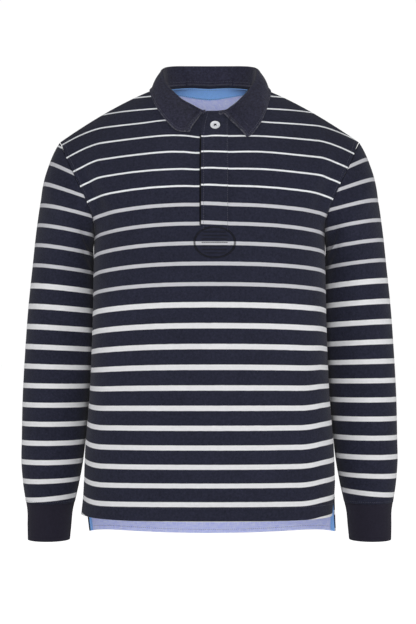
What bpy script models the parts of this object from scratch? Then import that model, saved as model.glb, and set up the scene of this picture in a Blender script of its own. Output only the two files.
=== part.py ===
"""Long-sleeve polo shirt with a fold-down collar, filled out as if worn.

Metres, +Z up. The front faces -Y and the wearer's left is +X. The origin is mid-body, level with
the neck ends of the shoulder seams. Each cut piece is a thin closed wall of its own, 0.3 mm from
the piece that it is sewn to.
"""
import math

import bpy
import numpy as np

# Cloth thickness and the gaps between pieces.
JERSEY = 0.0018
RIB = 0.0022
TWILL = 0.0020
TAPE = 0.0010
SEAM_GAP = 0.0003
INSIDE_GAP = 0.0007
FACING_GAP = 0.0010

# Where things lie on a panel, in its own terms: across is 0 at mid-body and 1 at the side seam or
# armhole, up is 0 at the hem and 1 at the shoulder seam.
ARMPIT_UP = 0.62
VENT_TOP_UP = 0.060
NECK_ACROSS = 0.32
SEAM_ACROSS = 0.9994
SEAM_UP = 0.9996
NECK_DIP = {"front": 0.072, "back": 0.040}
NECK_SQUARENESS = {"front": 1.9, "back": 2.4}

# A body panel is a stack of rows from the hem to the shoulder seam. Each row runs from mid-body to
# the panel's edge. turn is the angle, seen from above, by which a row has turned away from the
# wearer's side-to-side line at its edge, fall is its downward slope there, and the two holds say
# how long it stays flat at mid-body and at the edge.
# Columns: row, up, edge_x, edge_y, edge_z, mid_y, mid_z, turn, fall, mid_hold, edge_hold.
FRONT_ROWS = (
    ("hem", 0.00, 0.2085, -0.0030, -0.702, -0.1200, -0.7020, 84, 0.00, 0.66, 0.078),
    ("vent top", 0.06, 0.2065, -0.0000, -0.645, -0.1225, -0.6450, 90, 0.00, 0.66, 0.080),
    ("hip", 0.12, 0.2050, 0.0000, -0.600, -0.1240, -0.6000, 90, 0.00, 0.66, 0.081),
    ("waist", 0.24, 0.1975, 0.0000, -0.505, -0.1265, -0.5050, 90, 0.00, 0.66, 0.082),
    ("rib", 0.40, 0.1925, 0.0000, -0.385, -0.1275, -0.3850, 90, 0.00, 0.67, 0.082),
    ("under chest", 0.54, 0.1910, 0.0040, -0.290, -0.1275, -0.2850, 90, 0.00, 0.68, 0.080),
    ("armpit", 0.62, 0.1905, 0.0120, -0.246, -0.1265, -0.2330, 90, 0.02, 0.68, 0.076),
    ("low armhole", 0.69, 0.1890, -0.0380, -0.221, -0.1225, -0.1930, 74, 0.05, 0.64, 0.046),
    ("chest", 0.75, 0.1965, -0.0600, -0.196, -0.1150, -0.1610, 50, 0.12, 0.60, 0.050),
    ("mid armhole", 0.81, 0.2085, -0.0600, -0.169, -0.1010, -0.1260, 36, 0.22, 0.54, 0.056),
    ("high armhole", 0.87, 0.2210, -0.0510, -0.143, -0.0810, -0.0900, 27, 0.36, 0.48, 0.062),
    ("collar bone", 0.93, 0.2350, -0.0310, -0.115, -0.0520, -0.0480, 18, 0.52, 0.40, 0.070),
    ("top", 0.965, 0.2413, -0.0165, -0.0990, -0.0280, -0.0120, 9, 0.62, 0.34, 0.076),
    ("shoulder", 1.00, 0.2465, 0.0000, -0.089, -0.0010, 0.0180, 0, 0.70, 0.30, 0.080),
)
BACK_ROWS = (
    ("hem", 0.00, 0.2060, 0.0180, -0.730, 0.1180, -0.7480, 80, 0.00, 0.66, 0.066),
    ("vent top", 0.06, 0.2065, 0.0000, -0.645, 0.1170, -0.6700, 90, 0.00, 0.66, 0.076),
    ("hip", 0.12, 0.2050, 0.0000, -0.600, 0.1160, -0.6100, 90, 0.00, 0.66, 0.076),
    ("waist", 0.24, 0.1975, 0.0000, -0.505, 0.1130, -0.5050, 90, 0.00, 0.66, 0.075),
    ("rib", 0.40, 0.1925, 0.0000, -0.385, 0.1150, -0.3850, 90, 0.00, 0.66, 0.075),
    ("under chest", 0.54, 0.1910, 0.0040, -0.290, 0.1220, -0.2850, 90, 0.00, 0.66, 0.072),
    ("armpit", 0.62, 0.1905, 0.0120, -0.246, 0.1255, -0.2300, 90, 0.02, 0.66, 0.068),
    ("low armhole", 0.69, 0.1895, 0.0580, -0.222, 0.1265, -0.1850, 72, 0.05, 0.64, 0.044),
    ("shoulder blade", 0.75, 0.1965, 0.0820, -0.195, 0.1250, -0.1480, 50, 0.12, 0.60, 0.046),
    ("mid armhole", 0.81, 0.2085, 0.0850, -0.167, 0.1190, -0.1080, 34, 0.22, 0.54, 0.054),
    ("high armhole", 0.87, 0.2215, 0.0720, -0.139, 0.1060, -0.0640, 24, 0.36, 0.48, 0.062),
    ("yoke", 0.93, 0.2355, 0.0430, -0.112, 0.0830, -0.0190, 16, 0.52, 0.40, 0.070),
    ("nape", 0.965, 0.2415, 0.0220, -0.100, 0.0560, 0.0100, 9, 0.62, 0.34, 0.076),
    ("shoulder", 1.00, 0.2465, 0.0000, -0.089, -0.0010, 0.0180, 0, 0.70, 0.30, 0.080),
)
PANEL_ROWS = {"front": FRONT_ROWS, "back": BACK_ROWS}

# How far each hem corner curls in towards mid-body below the vent's top, by the wearer's side.
VENT_CURL = {"front": {"left": 0.0095, "right": -0.0030}, "back": {"left": -0.0015, "right": 0.0040}}
VENT_CURL_FROM = 0.70
PANEL_COLUMNS_TO_NECK = 5
PANEL_COLUMNS_TO_EDGE = 7
PANEL_ROW_STEPS = (("vent", 0.00, 0.06, 2), ("side", 0.06, 0.62, 9), ("armhole", 0.62, 1.00, 14))

# The wearer's left sleeve as rings. The first ring is the armhole itself. Each later ring is an
# ellipse: half_out is measured in the front view and half_deep from front to back, and tilt is the
# angle by which its inner side hangs below its outer side.
# Columns: ring, along, x, y, z, half_out, half_deep, tilt.
SLEEVE_RINGS = (
    ("upper arm", 0.055, 0.2326, 0.0150, -0.2030, 0.0693, 0.0740, 55.6),
    ("below armpit", 0.115, 0.2373, 0.0260, -0.2320, 0.0626, 0.0740, 45.6),
    ("upper sleeve", 0.175, 0.2407, 0.0350, -0.2590, 0.0579, 0.0730, 35.2),
    ("above elbow", 0.285, 0.2438, 0.0440, -0.3120, 0.0558, 0.0705, 17.5),
    ("elbow", 0.390, 0.2478, 0.0465, -0.3700, 0.0570, 0.0680, 7),
    ("below elbow", 0.490, 0.2512, 0.0450, -0.4260, 0.0575, 0.0660, 2),
    ("forearm", 0.650, 0.2575, 0.040, -0.5150, 0.0555, 0.0630, 0),
    ("low forearm", 0.770, 0.2603, 0.033, -0.5800, 0.0532, 0.0595, 0),
    ("above wrist", 0.840, 0.2623, 0.028, -0.6170, 0.0512, 0.0570, 0),
    ("wrist", 0.900, 0.2635, 0.024, -0.6480, 0.0472, 0.0530, 0),
    ("cuff seam", 1.000, 0.2643, 0.018, -0.6840, 0.0405, 0.0450, 0),
)
SLEEVE_START = 0.0010
SLEEVE_STEPS = 20
SLEEVE_ROWS_CLOSER_AT_TOP = 1.15

# The wearer's left cuff, with the same columns.
CUFF_RINGS = (
    ("cuff seam", 0.00, 0.2643, 0.018, -0.6844, 0.0400, 0.0440, 0),
    ("pulled in", 0.18, 0.2646, 0.0165, -0.6960, 0.0378, 0.0415, 0),
    ("middle", 0.60, 0.2654, 0.0130, -0.7220, 0.0362, 0.0398, 0),
    ("edge", 1.00, 0.2660, 0.0100, -0.7450, 0.0348, 0.0385, 0),
)
CUFF_AROUND = 24
CUFF_STEPS = 4

# Large soft folds: where the middle lies, the fold's direction in the front view in degrees from
# +X, its length and width, and how far it sinks in (a negative depth stands out).
# Columns: fold, x, z, direction, length, width, depth.
PANEL_FOLDS = {
    "front": (
        ("drag to right armpit", -0.192, -0.175, 118, 0.110, 0.013, 0.0050),
        ("ridge beside it", -0.168, -0.165, 112, 0.120, 0.016, -0.0030),
        ("drag to left armpit", 0.190, -0.172, 64, 0.100, 0.013, 0.0045),
        ("ridge beside it, left", 0.166, -0.165, 68, 0.115, 0.016, -0.0025),
        ("soft hang, right", -0.120, -0.430, 82, 0.260, 0.030, 0.0030),
        ("soft hang, left", 0.105, -0.470, 97, 0.300, 0.032, 0.0030),
    ),
    "back": (
        ("drag to right armpit", -0.185, -0.180, 122, 0.120, 0.014, 0.0050),
        ("drag to left armpit", 0.188, -0.178, 60, 0.110, 0.014, 0.0050),
        ("small of the back", 0.015, -0.420, 4, 0.240, 0.030, 0.0045),
        ("above the seat", -0.040, -0.500, 174, 0.180, 0.026, 0.0030),
        ("soft hang, left", 0.115, -0.520, 95, 0.260, 0.034, -0.0035),
    ),
}

# The same on the sleeves, in a sleeve's own terms: around, along and the rise over its length.
# Columns: fold, around, along, slant, length, width, depth.
SLEEVE_FOLDS = (
    ("armpit pinch", 0.440, 0.075, 0.10, 0.200, 0.028, 0.0035),
    ("second pinch", 0.420, 0.150, 0.12, 0.180, 0.030, 0.0030),
    ("inside elbow", 0.300, 0.430, 0.10, 0.220, 0.026, 0.0032),
    ("below the elbow", 0.340, 0.520, -0.08, 0.200, 0.026, 0.0026),
    ("back of elbow", 0.780, 0.455, 0.06, 0.200, 0.030, 0.0028),
    ("slack at cuff", 0.200, 0.860, 0.05, 0.240, 0.024, 0.0020),
)

# Folds fade out towards sewn edges: across a panel beside its edge, and along a sleeve's ends.
CALM_FROM = 0.995
CALM_ACROSS = 0.10
CALM_ALONG = 0.05

# The collar from the wearer's right front end, round the nape, to the left front end. neck_turn is
# where its stand meets the neckline, in degrees from the throat; roll is the top of the fold and
# leaf is its edge.
# Columns: section, around, neck_turn, roll_x, roll_y, roll_z, leaf_x, leaf_y, leaf_z.
COLLAR_SECTIONS = (
    ("right front end", 0.000, -4, -0.0075, -0.0525, -0.0400, -0.0340, -0.0900, -0.0845),
    ("right front", 0.045, -16, -0.0225, -0.0505, -0.0370, -0.0500, -0.0820, -0.0820),
    ("right of throat", 0.130, -40, -0.0470, -0.0385, -0.0220, -0.0700, -0.0660, -0.0600),
    ("right of neck", 0.215, -65, -0.0650, -0.0170, 0.0060, -0.0860, -0.0350, -0.0310),
    ("right shoulder", 0.300, -90, -0.0760, 0.0120, 0.0330, -0.0965, 0.0000, -0.0080),
    ("right of nape", 0.385, -126, -0.0650, 0.0450, 0.0460, -0.0800, 0.0580, -0.0060),
    ("right back", 0.445, -155, -0.0380, 0.0620, 0.0500, -0.0480, 0.0860, -0.0080),
    ("nape", 0.500, -180, 0.0000, 0.0680, 0.0510, 0.0000, 0.0960, -0.0090),
    ("left back", 0.555, -205, 0.0380, 0.0620, 0.0500, 0.0480, 0.0860, -0.0080),
    ("left of nape", 0.615, -234, 0.0660, 0.0450, 0.0460, 0.0810, 0.0580, -0.0060),
    ("left shoulder", 0.700, -270, 0.0780, 0.0120, 0.0330, 0.0990, 0.0000, -0.0080),
    ("left of neck", 0.785, -295, 0.0680, -0.0170, 0.0060, 0.0950, -0.0350, -0.0340),
    ("left of throat", 0.870, -320, 0.0500, -0.0385, -0.0220, 0.0840, -0.0640, -0.0640),
    ("left front", 0.950, -341, 0.0290, -0.0505, -0.0370, 0.0680, -0.0800, -0.0870),
    ("left front end", 1.000, -351, 0.0170, -0.0525, -0.0400, 0.0600, -0.0850, -0.0920),
)
COLLAR_AROUND_STEPS = 44
COLLAR_ROLL_RADIUS = 0.0030
STAND_STEPS = 2
ROLL_STEPS = 4
FALL_STEPS = 5
FALL_BULGE = 0.0030

# The leaf lies this far over the panels, more over the shoulder ridge, and over the placket band
# from a little way outside its edges. The panels are sampled over the stretch that it covers.
LEAF_CLEAR = 0.0015
RIDGE_CLEAR = 0.0030
RIDGE_WIDTH = 0.012
BAND_CLEAR = 0.0002
BAND_MARGIN = 0.008
BAND_FADE = 0.006
UNDER_LEAF_ACROSS = 0.62
UNDER_LEAF_UP = 0.76
UNDER_LEAF_COLUMNS = 90
UNDER_LEAF_ROWS = 70
CLEAR_PASSES = 3

# The upper placket band, as seen from the front, and how far it is laid over the panel.
PLACKET_RIGHT_EDGE = -0.0142
PLACKET_LEFT_EDGE = 0.0300
PLACKET_FOOT = -0.2450
PLACKET_CORNER_Z = -0.0890
PLACKET_CORNER_CUT = 0.0090
PLACKET_CORNER_ROUND = 1.6
PLACKET_TOP_DROP = 0.0016
PLACKET_COLUMNS = 4
PLACKET_ROWS = 14
BAND_LIFT = SEAM_GAP + JERSEY

# The neck button: its place on the placket, its size and its four holes. The profile's columns
# are the point, how many rim widths it lies in from the edge, and its share of the thickness.
BUTTON_X = 0.0090
BUTTON_Z = -0.0740
BUTTON_RADIUS = 0.0078
BUTTON_THICKNESS = 0.0028
BUTTON_RIM = 0.0016
BUTTON_PROFILE = (
    ("dish edge", 1.0, 0.75),
    ("rim's inside", 0.8, 0.96),
    ("rim's top", 0.4, 1.00),
    ("upper edge", 0.0, 0.65),
    ("lower edge", 0.0, 0.35),
    ("foot", 0.6, 0.00),
)
BUTTON_HOLE_RADIUS = 0.0009
BUTTON_HOLE_SPREAD = 0.0017
BUTTON_SIDES = 24
BUTTON_HOLE_SIDES = 8

# Tapes and facings on the inside, in the panel's terms, each with its points across and up.
NECK_TAPE_ACROSS = 0.270
NECK_TAPE_DROP = 0.0150
NECK_TAPE_TOP_DROP = 0.0012
NECK_TAPE_POINTS = (13, 4)
FACING_ACROSS = 0.240
FACING_DROP = 0.0750
FACING_TOP_DROP = 0.0090
FACING_LEAST_DEPTH = 0.006
FACING_POINTS = (15, 6)
HEM_FACING_ACROSS = 0.952
HEM_FACING_TOP_UP = 0.034
HEM_FACING_POINTS = (23, 3)
VENT_TAPE_FROM = 0.957
VENT_TAPE_TO = 0.9985
VENT_TAPE_POINTS = (3, 5)
HEM_EDGE_UP = 0.0016

# Numerical steps: for slopes, for finding a place on a panel, and where end faces stop leaning.
FINE_STEP = 1e-4
PLACE_PASSES = 30
HALF_WIDTH_GUESS = 0.21
HEM_GUESS = -0.70
HEIGHT_GUESS = 0.75
MITRE_FADE = 0.2
JUST_INSIDE = 0.9999
SHARP_ANGLE = 40

FINISHES = {
    "navy_jersey": ((0.025, 0.025, 0.040), 0.85),
    "navy_rib": ((0.024, 0.023, 0.036), 0.88),
    "navy_twill": ((0.035, 0.034, 0.050), 0.82),
    "blue_tape": ((0.130, 0.270, 0.640), 0.80),
    "lilac_chambray": ((0.420, 0.450, 0.680), 0.85),
    "button_white": ((0.780, 0.800, 0.830), 0.35),
}


def clear_scene():
    """Start with an empty scene."""
    for obj in list(bpy.data.objects):
        bpy.data.objects.remove(obj)


def curve_through(stations, values, at):
    """Read a smooth curve through a table's rows: cubic pieces with finite-difference slopes."""
    stations = np.asarray(stations, dtype=float)
    values = np.asarray(values, dtype=float)
    at = np.asarray(at, dtype=float)
    slopes = np.gradient(values, stations, axis=0)
    low = np.clip(np.searchsorted(stations, at, side="right") - 1, 0, len(stations) - 2)
    width = stations[low + 1] - stations[low]
    part = (at - stations[low]) / width
    shape = at.shape + (1,) * (values.ndim - 1)
    part = part.reshape(shape)
    width = width.reshape(shape)
    rising = values[low] * (1 + 2 * part) * (1 - part) ** 2 + slopes[low] * width * part * (1 - part) ** 2
    falling = values[low + 1] * part ** 2 * (3 - 2 * part) - slopes[low + 1] * width * part ** 2 * (1 - part)
    return rising + falling


def bezier(start, first, second, end, t):
    """Point of a cubic Bezier curve."""
    t = t[..., None]
    return start * (1 - t) ** 3 + 3 * first * t * (1 - t) ** 2 + 3 * second * t ** 2 * (1 - t) + end * t ** 3


def unit(vectors):
    """Vectors at length 1."""
    return vectors / np.linalg.norm(vectors, axis=-1, keepdims=True)


def panel_edge(rows, up):
    """A panel's edge as three runs that meet in corners: vent, side seam and armhole."""
    edge = np.zeros(up.shape + (3,))
    for start, end in ((0.0, VENT_TOP_UP), (VENT_TOP_UP, ARMPIT_UP), (ARMPIT_UP, 1.0)):
        run = [row for row in rows if start <= row[1] <= end]
        found = curve_through([row[1] for row in run], [row[2:5] for row in run], up)
        inside = (up > start) | (start == 0.0)
        edge = np.where(inside[..., None], found, edge)
    return edge


def panel_form(panel, across, up):
    """The plain form of a body panel, before its folds."""
    across, up = np.broadcast_arrays(np.asarray(across, dtype=float), np.asarray(up, dtype=float))
    rows = PANEL_ROWS[panel]
    read = curve_through([row[1] for row in rows], [row[5:] for row in rows], up)
    mid_y, mid_z, turn, fall, mid_hold, edge_hold = np.moveaxis(read, -1, 0)
    edge = panel_edge(rows, up)
    facing = -1.0 if panel == "front" else 1.0
    turn = np.radians(turn)
    middle = np.stack((0 * mid_y, mid_y, mid_z), axis=-1)
    flat = np.stack((mid_hold * edge[..., 0], mid_y, mid_z), axis=-1)
    back_off = np.stack((-np.cos(turn), facing * np.sin(turn), fall), axis=-1)
    near_edge = edge + back_off * edge_hold[..., None]
    point = bezier(middle, flat, near_edge, edge, np.abs(across))
    curl = np.where(across < 0, VENT_CURL[panel]["right"], VENT_CURL[panel]["left"])
    corner = np.clip((np.abs(across) - VENT_CURL_FROM) / (1 - VENT_CURL_FROM), 0.0, None) ** 2
    point[..., 0] -= curl * corner * np.clip(1 - up / VENT_TOP_UP, 0.0, None) ** 1.5
    point[..., 0] *= np.where(across < 0, -1.0, 1.0)
    return point


def panel_normal(panel, across, up):
    """Outward normal of a body panel."""
    step = FINE_STEP
    sideways = panel_form(panel, across + step, up) - panel_form(panel, across - step, up)
    upward = panel_form(panel, across, up + step) - panel_form(panel, across, up - step)
    facing = 1.0 if panel == "front" else -1.0
    return unit(np.cross(sideways, upward)) * facing


def fold_depth(folds, first, second):
    """How far large folds sink a surface in at a place, each a soft trough with fading ends."""
    depth = np.zeros(np.broadcast(first, second).shape)
    for _, first_middle, second_middle, direction, length, width, sink in folds:
        angle = math.radians(direction)
        first_off = first - first_middle
        second_off = second - second_middle
        along = (first_off * math.cos(angle) + second_off * math.sin(angle)) / (0.5 * length)
        aside = (second_off * math.cos(angle) - first_off * math.sin(angle)) / width
        depth = depth + sink * np.exp(-aside ** 2 - along ** 4)
    return depth


def edge_calm(across):
    """Folds fade out at a panel's edge so that sewn edges stay together."""
    return np.clip((CALM_FROM - np.abs(across)) / CALM_ACROSS, 0.0, 1.0)


def panel_surface(panel, across, up, lift=0.0):
    """Points on a panel's outer face or, with a lift, parallel to it."""
    across, up = np.broadcast_arrays(np.asarray(across, dtype=float), np.asarray(up, dtype=float))
    form = panel_form(panel, across, up)
    sink = fold_depth(PANEL_FOLDS[panel], form[..., 0], form[..., 2]) * edge_calm(across)
    return form + panel_normal(panel, across, up) * (lift - sink)[..., None]


def neck_up(panel, across):
    """How far up a panel reaches: to the neckline inside the neck, else to the shoulder seam."""
    inside = np.clip(1 - (np.abs(across) / NECK_ACROSS) ** NECK_SQUARENESS[panel], 0.0, 1.0)
    return SEAM_UP - NECK_DIP[panel] * inside ** (1 / NECK_SQUARENESS[panel])


def across_columns():
    """Column places from one edge of a panel to the other, closest together beside the neck."""
    to_neck = [NECK_ACROSS * math.sin(0.5 * math.pi * i / PANEL_COLUMNS_TO_NECK)
               for i in range(PANEL_COLUMNS_TO_NECK + 1)]
    to_edge = [NECK_ACROSS + (SEAM_ACROSS - NECK_ACROSS) * (i + 1) / PANEL_COLUMNS_TO_EDGE
               for i in range(PANEL_COLUMNS_TO_EDGE)]
    half = to_neck + to_edge
    return np.array([-place for place in reversed(half[1:])] + half)


def up_rows():
    """Row places from the hem to the top."""
    rows = [0.0]
    for _, start, end, steps in PANEL_ROW_STEPS:
        rows += [start + (end - start) * (i + 1) / steps for i in range(steps)]
    return np.array(rows)


def panel_grid(panel):
    """Across and up at every point of a panel's grid. Rows above the armpit close in on the neck."""
    across, up = np.meshgrid(across_columns(), up_rows())
    reach = neck_up(panel, across)
    above = up > ARMPIT_UP
    squeezed = ARMPIT_UP + (up - ARMPIT_UP) * (reach - ARMPIT_UP) / (1 - ARMPIT_UP)
    return across, np.where(above, squeezed, up)


def mitre(own, other):
    """Direction of a wall's end face where it meets another wall: halfway, unless they fold back."""
    together = np.sum(own * other, axis=-1, keepdims=True)
    share = np.clip((together + MITRE_FADE) / (2 * MITRE_FADE), 0.0, 1.0)
    return unit(own + share * other)


def armhole_up(around):
    """Panel and up for a place around an armhole: 0 shoulder, 0.25 front, 0.5 armpit, 0.75 back."""
    half = 1 - np.abs(2 * around - 1)
    return np.where(around <= 0.5, 0, 1), 1 - (1 - ARMPIT_UP) * half


def armhole_stations():
    """Places around an armhole, level with the panels' own rows."""
    rows = up_rows()
    half = [0.5 * (1 - up) / (1 - ARMPIT_UP) for up in reversed(rows[rows > ARMPIT_UP - 1e-9])]
    return np.array(half + [1 - place for place in reversed(half[1:-1])])


def armhole(around):
    """Points around the wearer's left armhole."""
    is_back, up = armhole_up(around)
    front = panel_form("front", 1.0, up)
    back = panel_form("back", 1.0, up)
    return np.where(is_back[..., None] == 1, back, front)


def ring_points(rings, around):
    """Ellipses of a ring table, each read at every place around."""
    turn = 2 * math.pi * around
    found = []
    for _, _, x, y, z, half_out, half_deep, tilt in rings:
        slope = math.radians(tilt)
        out = half_out * np.cos(turn)
        deep = half_deep * np.sin(turn)
        found.append(np.stack((x + out * math.cos(slope), y - deep, z + out * math.sin(slope)), axis=-1))
    return np.array(found)


def sleeve_form(around, along):
    """The wearer's left sleeve before its folds: one row of points around for each place along."""
    rings = np.concatenate((armhole(around % 1.0)[None], ring_points(SLEEVE_RINGS, around)))
    stations = [0.0] + [ring[1] for ring in SLEEVE_RINGS]
    return curve_through(stations, rings, along)


def cuff_form(around, along):
    """The wearer's left cuff."""
    return curve_through([ring[1] for ring in CUFF_RINGS], ring_points(CUFF_RINGS, around), along)


def tube_normal(form, around, along):
    """Outward normal of a sleeve or cuff."""
    step = FINE_STEP
    roundabout = form(around + step, along) - form(around - step, along)
    lengthwise = form(around, along + step) - form(around, along - step)
    return unit(np.cross(roundabout, lengthwise))


def sleeve_surface(around, along):
    """Outer points of the wearer's left sleeve, folds included."""
    ends = np.clip(along / CALM_ALONG, 0.0, 1.0) * np.clip((1 - along) / CALM_ALONG, 0.0, 1.0)
    folds = tuple((name, x, z, math.degrees(math.atan2(slant, length)), length, width, depth)
                  for name, x, z, slant, length, width, depth in SLEEVE_FOLDS)
    sink = fold_depth(folds, around[None, :], along[:, None]) * ends[:, None]
    return sleeve_form(around, along) - tube_normal(sleeve_form, around, along) * sink[..., None]


def make_object(name, vertices, faces, finish, collection):
    """A named mesh object with its own material."""
    mesh = bpy.data.meshes.new(name)
    mesh.from_pydata([tuple(vertex) for vertex in vertices], [], faces)
    mesh.validate()
    mesh.shade_smooth()
    mesh.set_sharp_from_angle(angle=math.radians(SHARP_ANGLE))
    obj = bpy.data.objects.new(name, mesh)
    collection.objects.link(obj)
    mesh.materials.append(make_material(name, finish))
    return obj


def make_material(name, finish):
    """A plain Principled material for one piece."""
    colour, roughness = FINISHES[finish]
    material = bpy.data.materials.new(name)
    material.use_nodes = True
    shader = material.node_tree.nodes["Principled BSDF"]
    shader.inputs["Base Color"].default_value = (*colour, 1.0)
    shader.inputs["Roughness"].default_value = roughness
    shader.inputs["Metallic"].default_value = 0.0
    return material


def cloth_wall(name, outer, inner, finish, collection, ring=False):
    """A closed wall between two grids of points. A ring's last column joins its first."""
    rows, columns = outer.shape[:2]
    count = rows * columns
    vertices = np.concatenate((outer.reshape(-1, 3), inner.reshape(-1, 3)))
    wrap = columns if ring else columns - 1
    faces = []
    for row in range(rows - 1):
        for column in range(wrap):
            a = row * columns + column
            b = row * columns + (column + 1) % columns
            c = b + columns
            d = a + columns
            faces.append((a, b, c, d))
            faces.append((count + d, count + c, count + b, count + a))
    for column in range(wrap):
        a = column
        b = (column + 1) % columns
        faces.append((b, a, count + a, count + b))
        a += (rows - 1) * columns
        b += (rows - 1) * columns
        faces.append((a, b, count + b, count + a))
    if not ring:
        for row in range(rows - 1):
            a = row * columns
            b = a + columns
            faces.append((a, b, count + b, count + a))
            a += columns - 1
            b += columns - 1
            faces.append((b, a, count + a, count + b))
    return make_object(name, vertices, faces, finish, collection)


def panel_facets(panel, across, up, lift):
    """Points laid parallel to the flat facets of a panel's wall, which its inside pieces follow."""
    columns = across_columns()
    rows = up_rows()
    grid_across, grid_up = panel_grid(panel)
    grid = panel_surface(panel, grid_across, grid_up, lift)
    unsqueezed = ARMPIT_UP + (up - ARMPIT_UP) * (1 - ARMPIT_UP) / (neck_up(panel, across) - ARMPIT_UP)
    column = np.interp(across, columns, np.arange(len(columns)))
    row = np.interp(np.where(up > ARMPIT_UP, unsqueezed, up), rows, np.arange(len(rows)))
    left = np.clip(column.astype(int), 0, len(columns) - 2)
    low = np.clip(row.astype(int), 0, len(rows) - 2)
    sideways = (column - left)[..., None]
    upward = (row - low)[..., None]
    lower = grid[low, left] * (1 - sideways) + grid[low, left + 1] * sideways
    higher = grid[low + 1, left] * (1 - sideways) + grid[low + 1, left + 1] * sideways
    return lower * (1 - upward) + higher * upward


def make_panel(panel, collection):
    """The front or back body, a jersey wall whose ends are mitred at its seams."""
    across, up = panel_grid(panel)
    outer = panel_surface(panel, across, up)
    normal = panel_normal(panel, across, up)
    other_panel = "back" if panel == "front" else "front"
    normal[-1] = unit(normal[-1] + panel_normal(other_panel, across[-1], up[-1]))
    edge_up = up[:, 0]
    around = 0.5 * (1 - edge_up) / (1 - ARMPIT_UP)
    if panel == "back":
        around = 1 - around
    in_armhole = (edge_up > ARMPIT_UP) & (edge_up < SEAM_UP)
    sleeve_side = np.array([tube_normal(sleeve_form, np.array([place]), np.array([SLEEVE_START]))[0, 0]
                            for place in around[in_armhole]])
    for column, mirror in ((0, -1.0), (-1, 1.0)):
        beside = sleeve_side * np.array((mirror, 1.0, 1.0))
        normal[in_armhole, column] = mitre(normal[in_armhole, column], beside)
    inner = outer - normal * JERSEY
    if panel == "back":
        outer = outer[:, ::-1]
        inner = inner[:, ::-1]
    return cloth_wall(panel, outer, inner, "navy_jersey", collection)


def make_sleeve(side, mirror, collection):
    """One sleeve: a jersey tube from the armhole to the cuff seam."""
    around = armhole_stations()
    share = np.linspace(0.0, 1.0, SLEEVE_STEPS + 1) ** SLEEVE_ROWS_CLOSER_AT_TOP
    along = SLEEVE_START + (1 - SLEEVE_START) * share
    outer = sleeve_surface(around, along)
    normal = tube_normal(sleeve_form, around, along)
    is_back, up = armhole_up(around)
    front_side = panel_normal("front", np.ones(len(up)), up)
    back_side = panel_normal("back", np.ones(len(up)), up)
    normal[0] = mitre(normal[0], np.where(is_back[:, None] == 1, back_side, front_side))
    inner = outer - normal * JERSEY
    return mirrored_tube("sleeve_" + side, outer, inner, mirror, "navy_jersey", collection)


def make_cuff(side, mirror, collection):
    """One rib cuff."""
    around = np.arange(CUFF_AROUND) / CUFF_AROUND
    along = np.linspace(0.0, 1.0, CUFF_STEPS + 1)
    outer = cuff_form(around, along)
    inner = outer - tube_normal(cuff_form, around, along) * RIB
    return mirrored_tube("cuff_" + side, outer, inner, mirror, "navy_rib", collection)


def mirrored_tube(name, outer, inner, mirror, finish, collection):
    """A tube made for the wearer's left, turned over for the right."""
    flip = np.array((mirror, 1.0, 1.0))
    outer = outer * flip
    inner = inner * flip
    if mirror < 0:
        outer = outer[:, ::-1]
        inner = inner[:, ::-1]
    return cloth_wall(name, outer, inner, finish, collection, ring=True)


def panel_place(panel, x, z):
    """Across and up of the panel point seen at x and z from the front, by Newton steps."""
    x, z = np.broadcast_arrays(np.asarray(x, dtype=float), np.asarray(z, dtype=float))
    across = x / HALF_WIDTH_GUESS
    up = np.clip((z - HEM_GUESS) / HEIGHT_GUESS, 0.05, 0.95)
    step = FINE_STEP
    for _ in range(PLACE_PASSES):
        here = panel_form(panel, across, up)
        sideways = (panel_form(panel, across + step, up) - here) / step
        upward = (panel_form(panel, across, up + step) - here) / step
        short_x = x - here[..., 0]
        short_z = z - here[..., 2]
        area = sideways[..., 0] * upward[..., 2] - sideways[..., 2] * upward[..., 0]
        across = across + (short_x * upward[..., 2] - short_z * upward[..., 0]) / area
        up = up + (short_z * sideways[..., 0] - short_x * sideways[..., 2]) / area
    return across, up


def sewn_inside(name, panel, across, up, lift, finish, collection):
    """A tape or facing made from a panel's own points and laid on its inside."""
    across, up = np.broadcast_arrays(across, up)
    outer = panel_facets(panel, across, up, lift)
    inner = panel_facets(panel, across, up, lift - TAPE)
    if panel == "back":
        outer = outer[:, ::-1]
        inner = inner[:, ::-1]
    return cloth_wall(name, outer, inner, finish, collection)


def make_placket(collection):
    """The upper placket band, with its throat corner curved in below the collar."""
    rows = np.linspace(0.0, 1.0, PLACKET_ROWS + 1)[:, None]
    columns = np.linspace(0.0, 1.0, PLACKET_COLUMNS + 1)[None, :]
    across_at_top, _ = panel_place("front", PLACKET_RIGHT_EDGE, PLACKET_CORNER_Z)
    top_form = panel_form("front", across_at_top, neck_up("front", across_at_top))
    top = top_form[2] - PLACKET_TOP_DROP
    z = PLACKET_FOOT + (top - PLACKET_FOOT) * rows
    curve = np.clip((z - PLACKET_CORNER_Z) / (top - PLACKET_CORNER_Z), 0.0, 1.0)
    right = PLACKET_RIGHT_EDGE + PLACKET_CORNER_CUT * curve ** PLACKET_CORNER_ROUND
    x = right + (PLACKET_LEFT_EDGE - right) * columns
    across, up = panel_place("front", x, z + 0 * x)
    outer = panel_surface("front", across, up, BAND_LIFT)
    inner = panel_surface("front", across, up, SEAM_GAP)
    cloth_wall("placket_top", outer, inner, "navy_jersey", collection)


def neckline(turn):
    """The outer rim of the neckline at angles from the throat, and the cloth's normal there."""
    across = NECK_ACROSS * np.sin(np.radians(turn)) * JUST_INSIDE
    at_back = (np.cos(np.radians(turn)) < 0)[:, None]
    front_up = neck_up("front", across)
    back_up = neck_up("back", across)
    back_rim = panel_facets("back", across, back_up, 0.0)
    front_rim = panel_facets("front", across, front_up, 0.0)
    back_normal = panel_normal("back", across, back_up)
    front_normal = panel_normal("front", across, front_up)
    return np.where(at_back, back_rim, front_rim), np.where(at_back, back_normal, front_normal)


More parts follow.
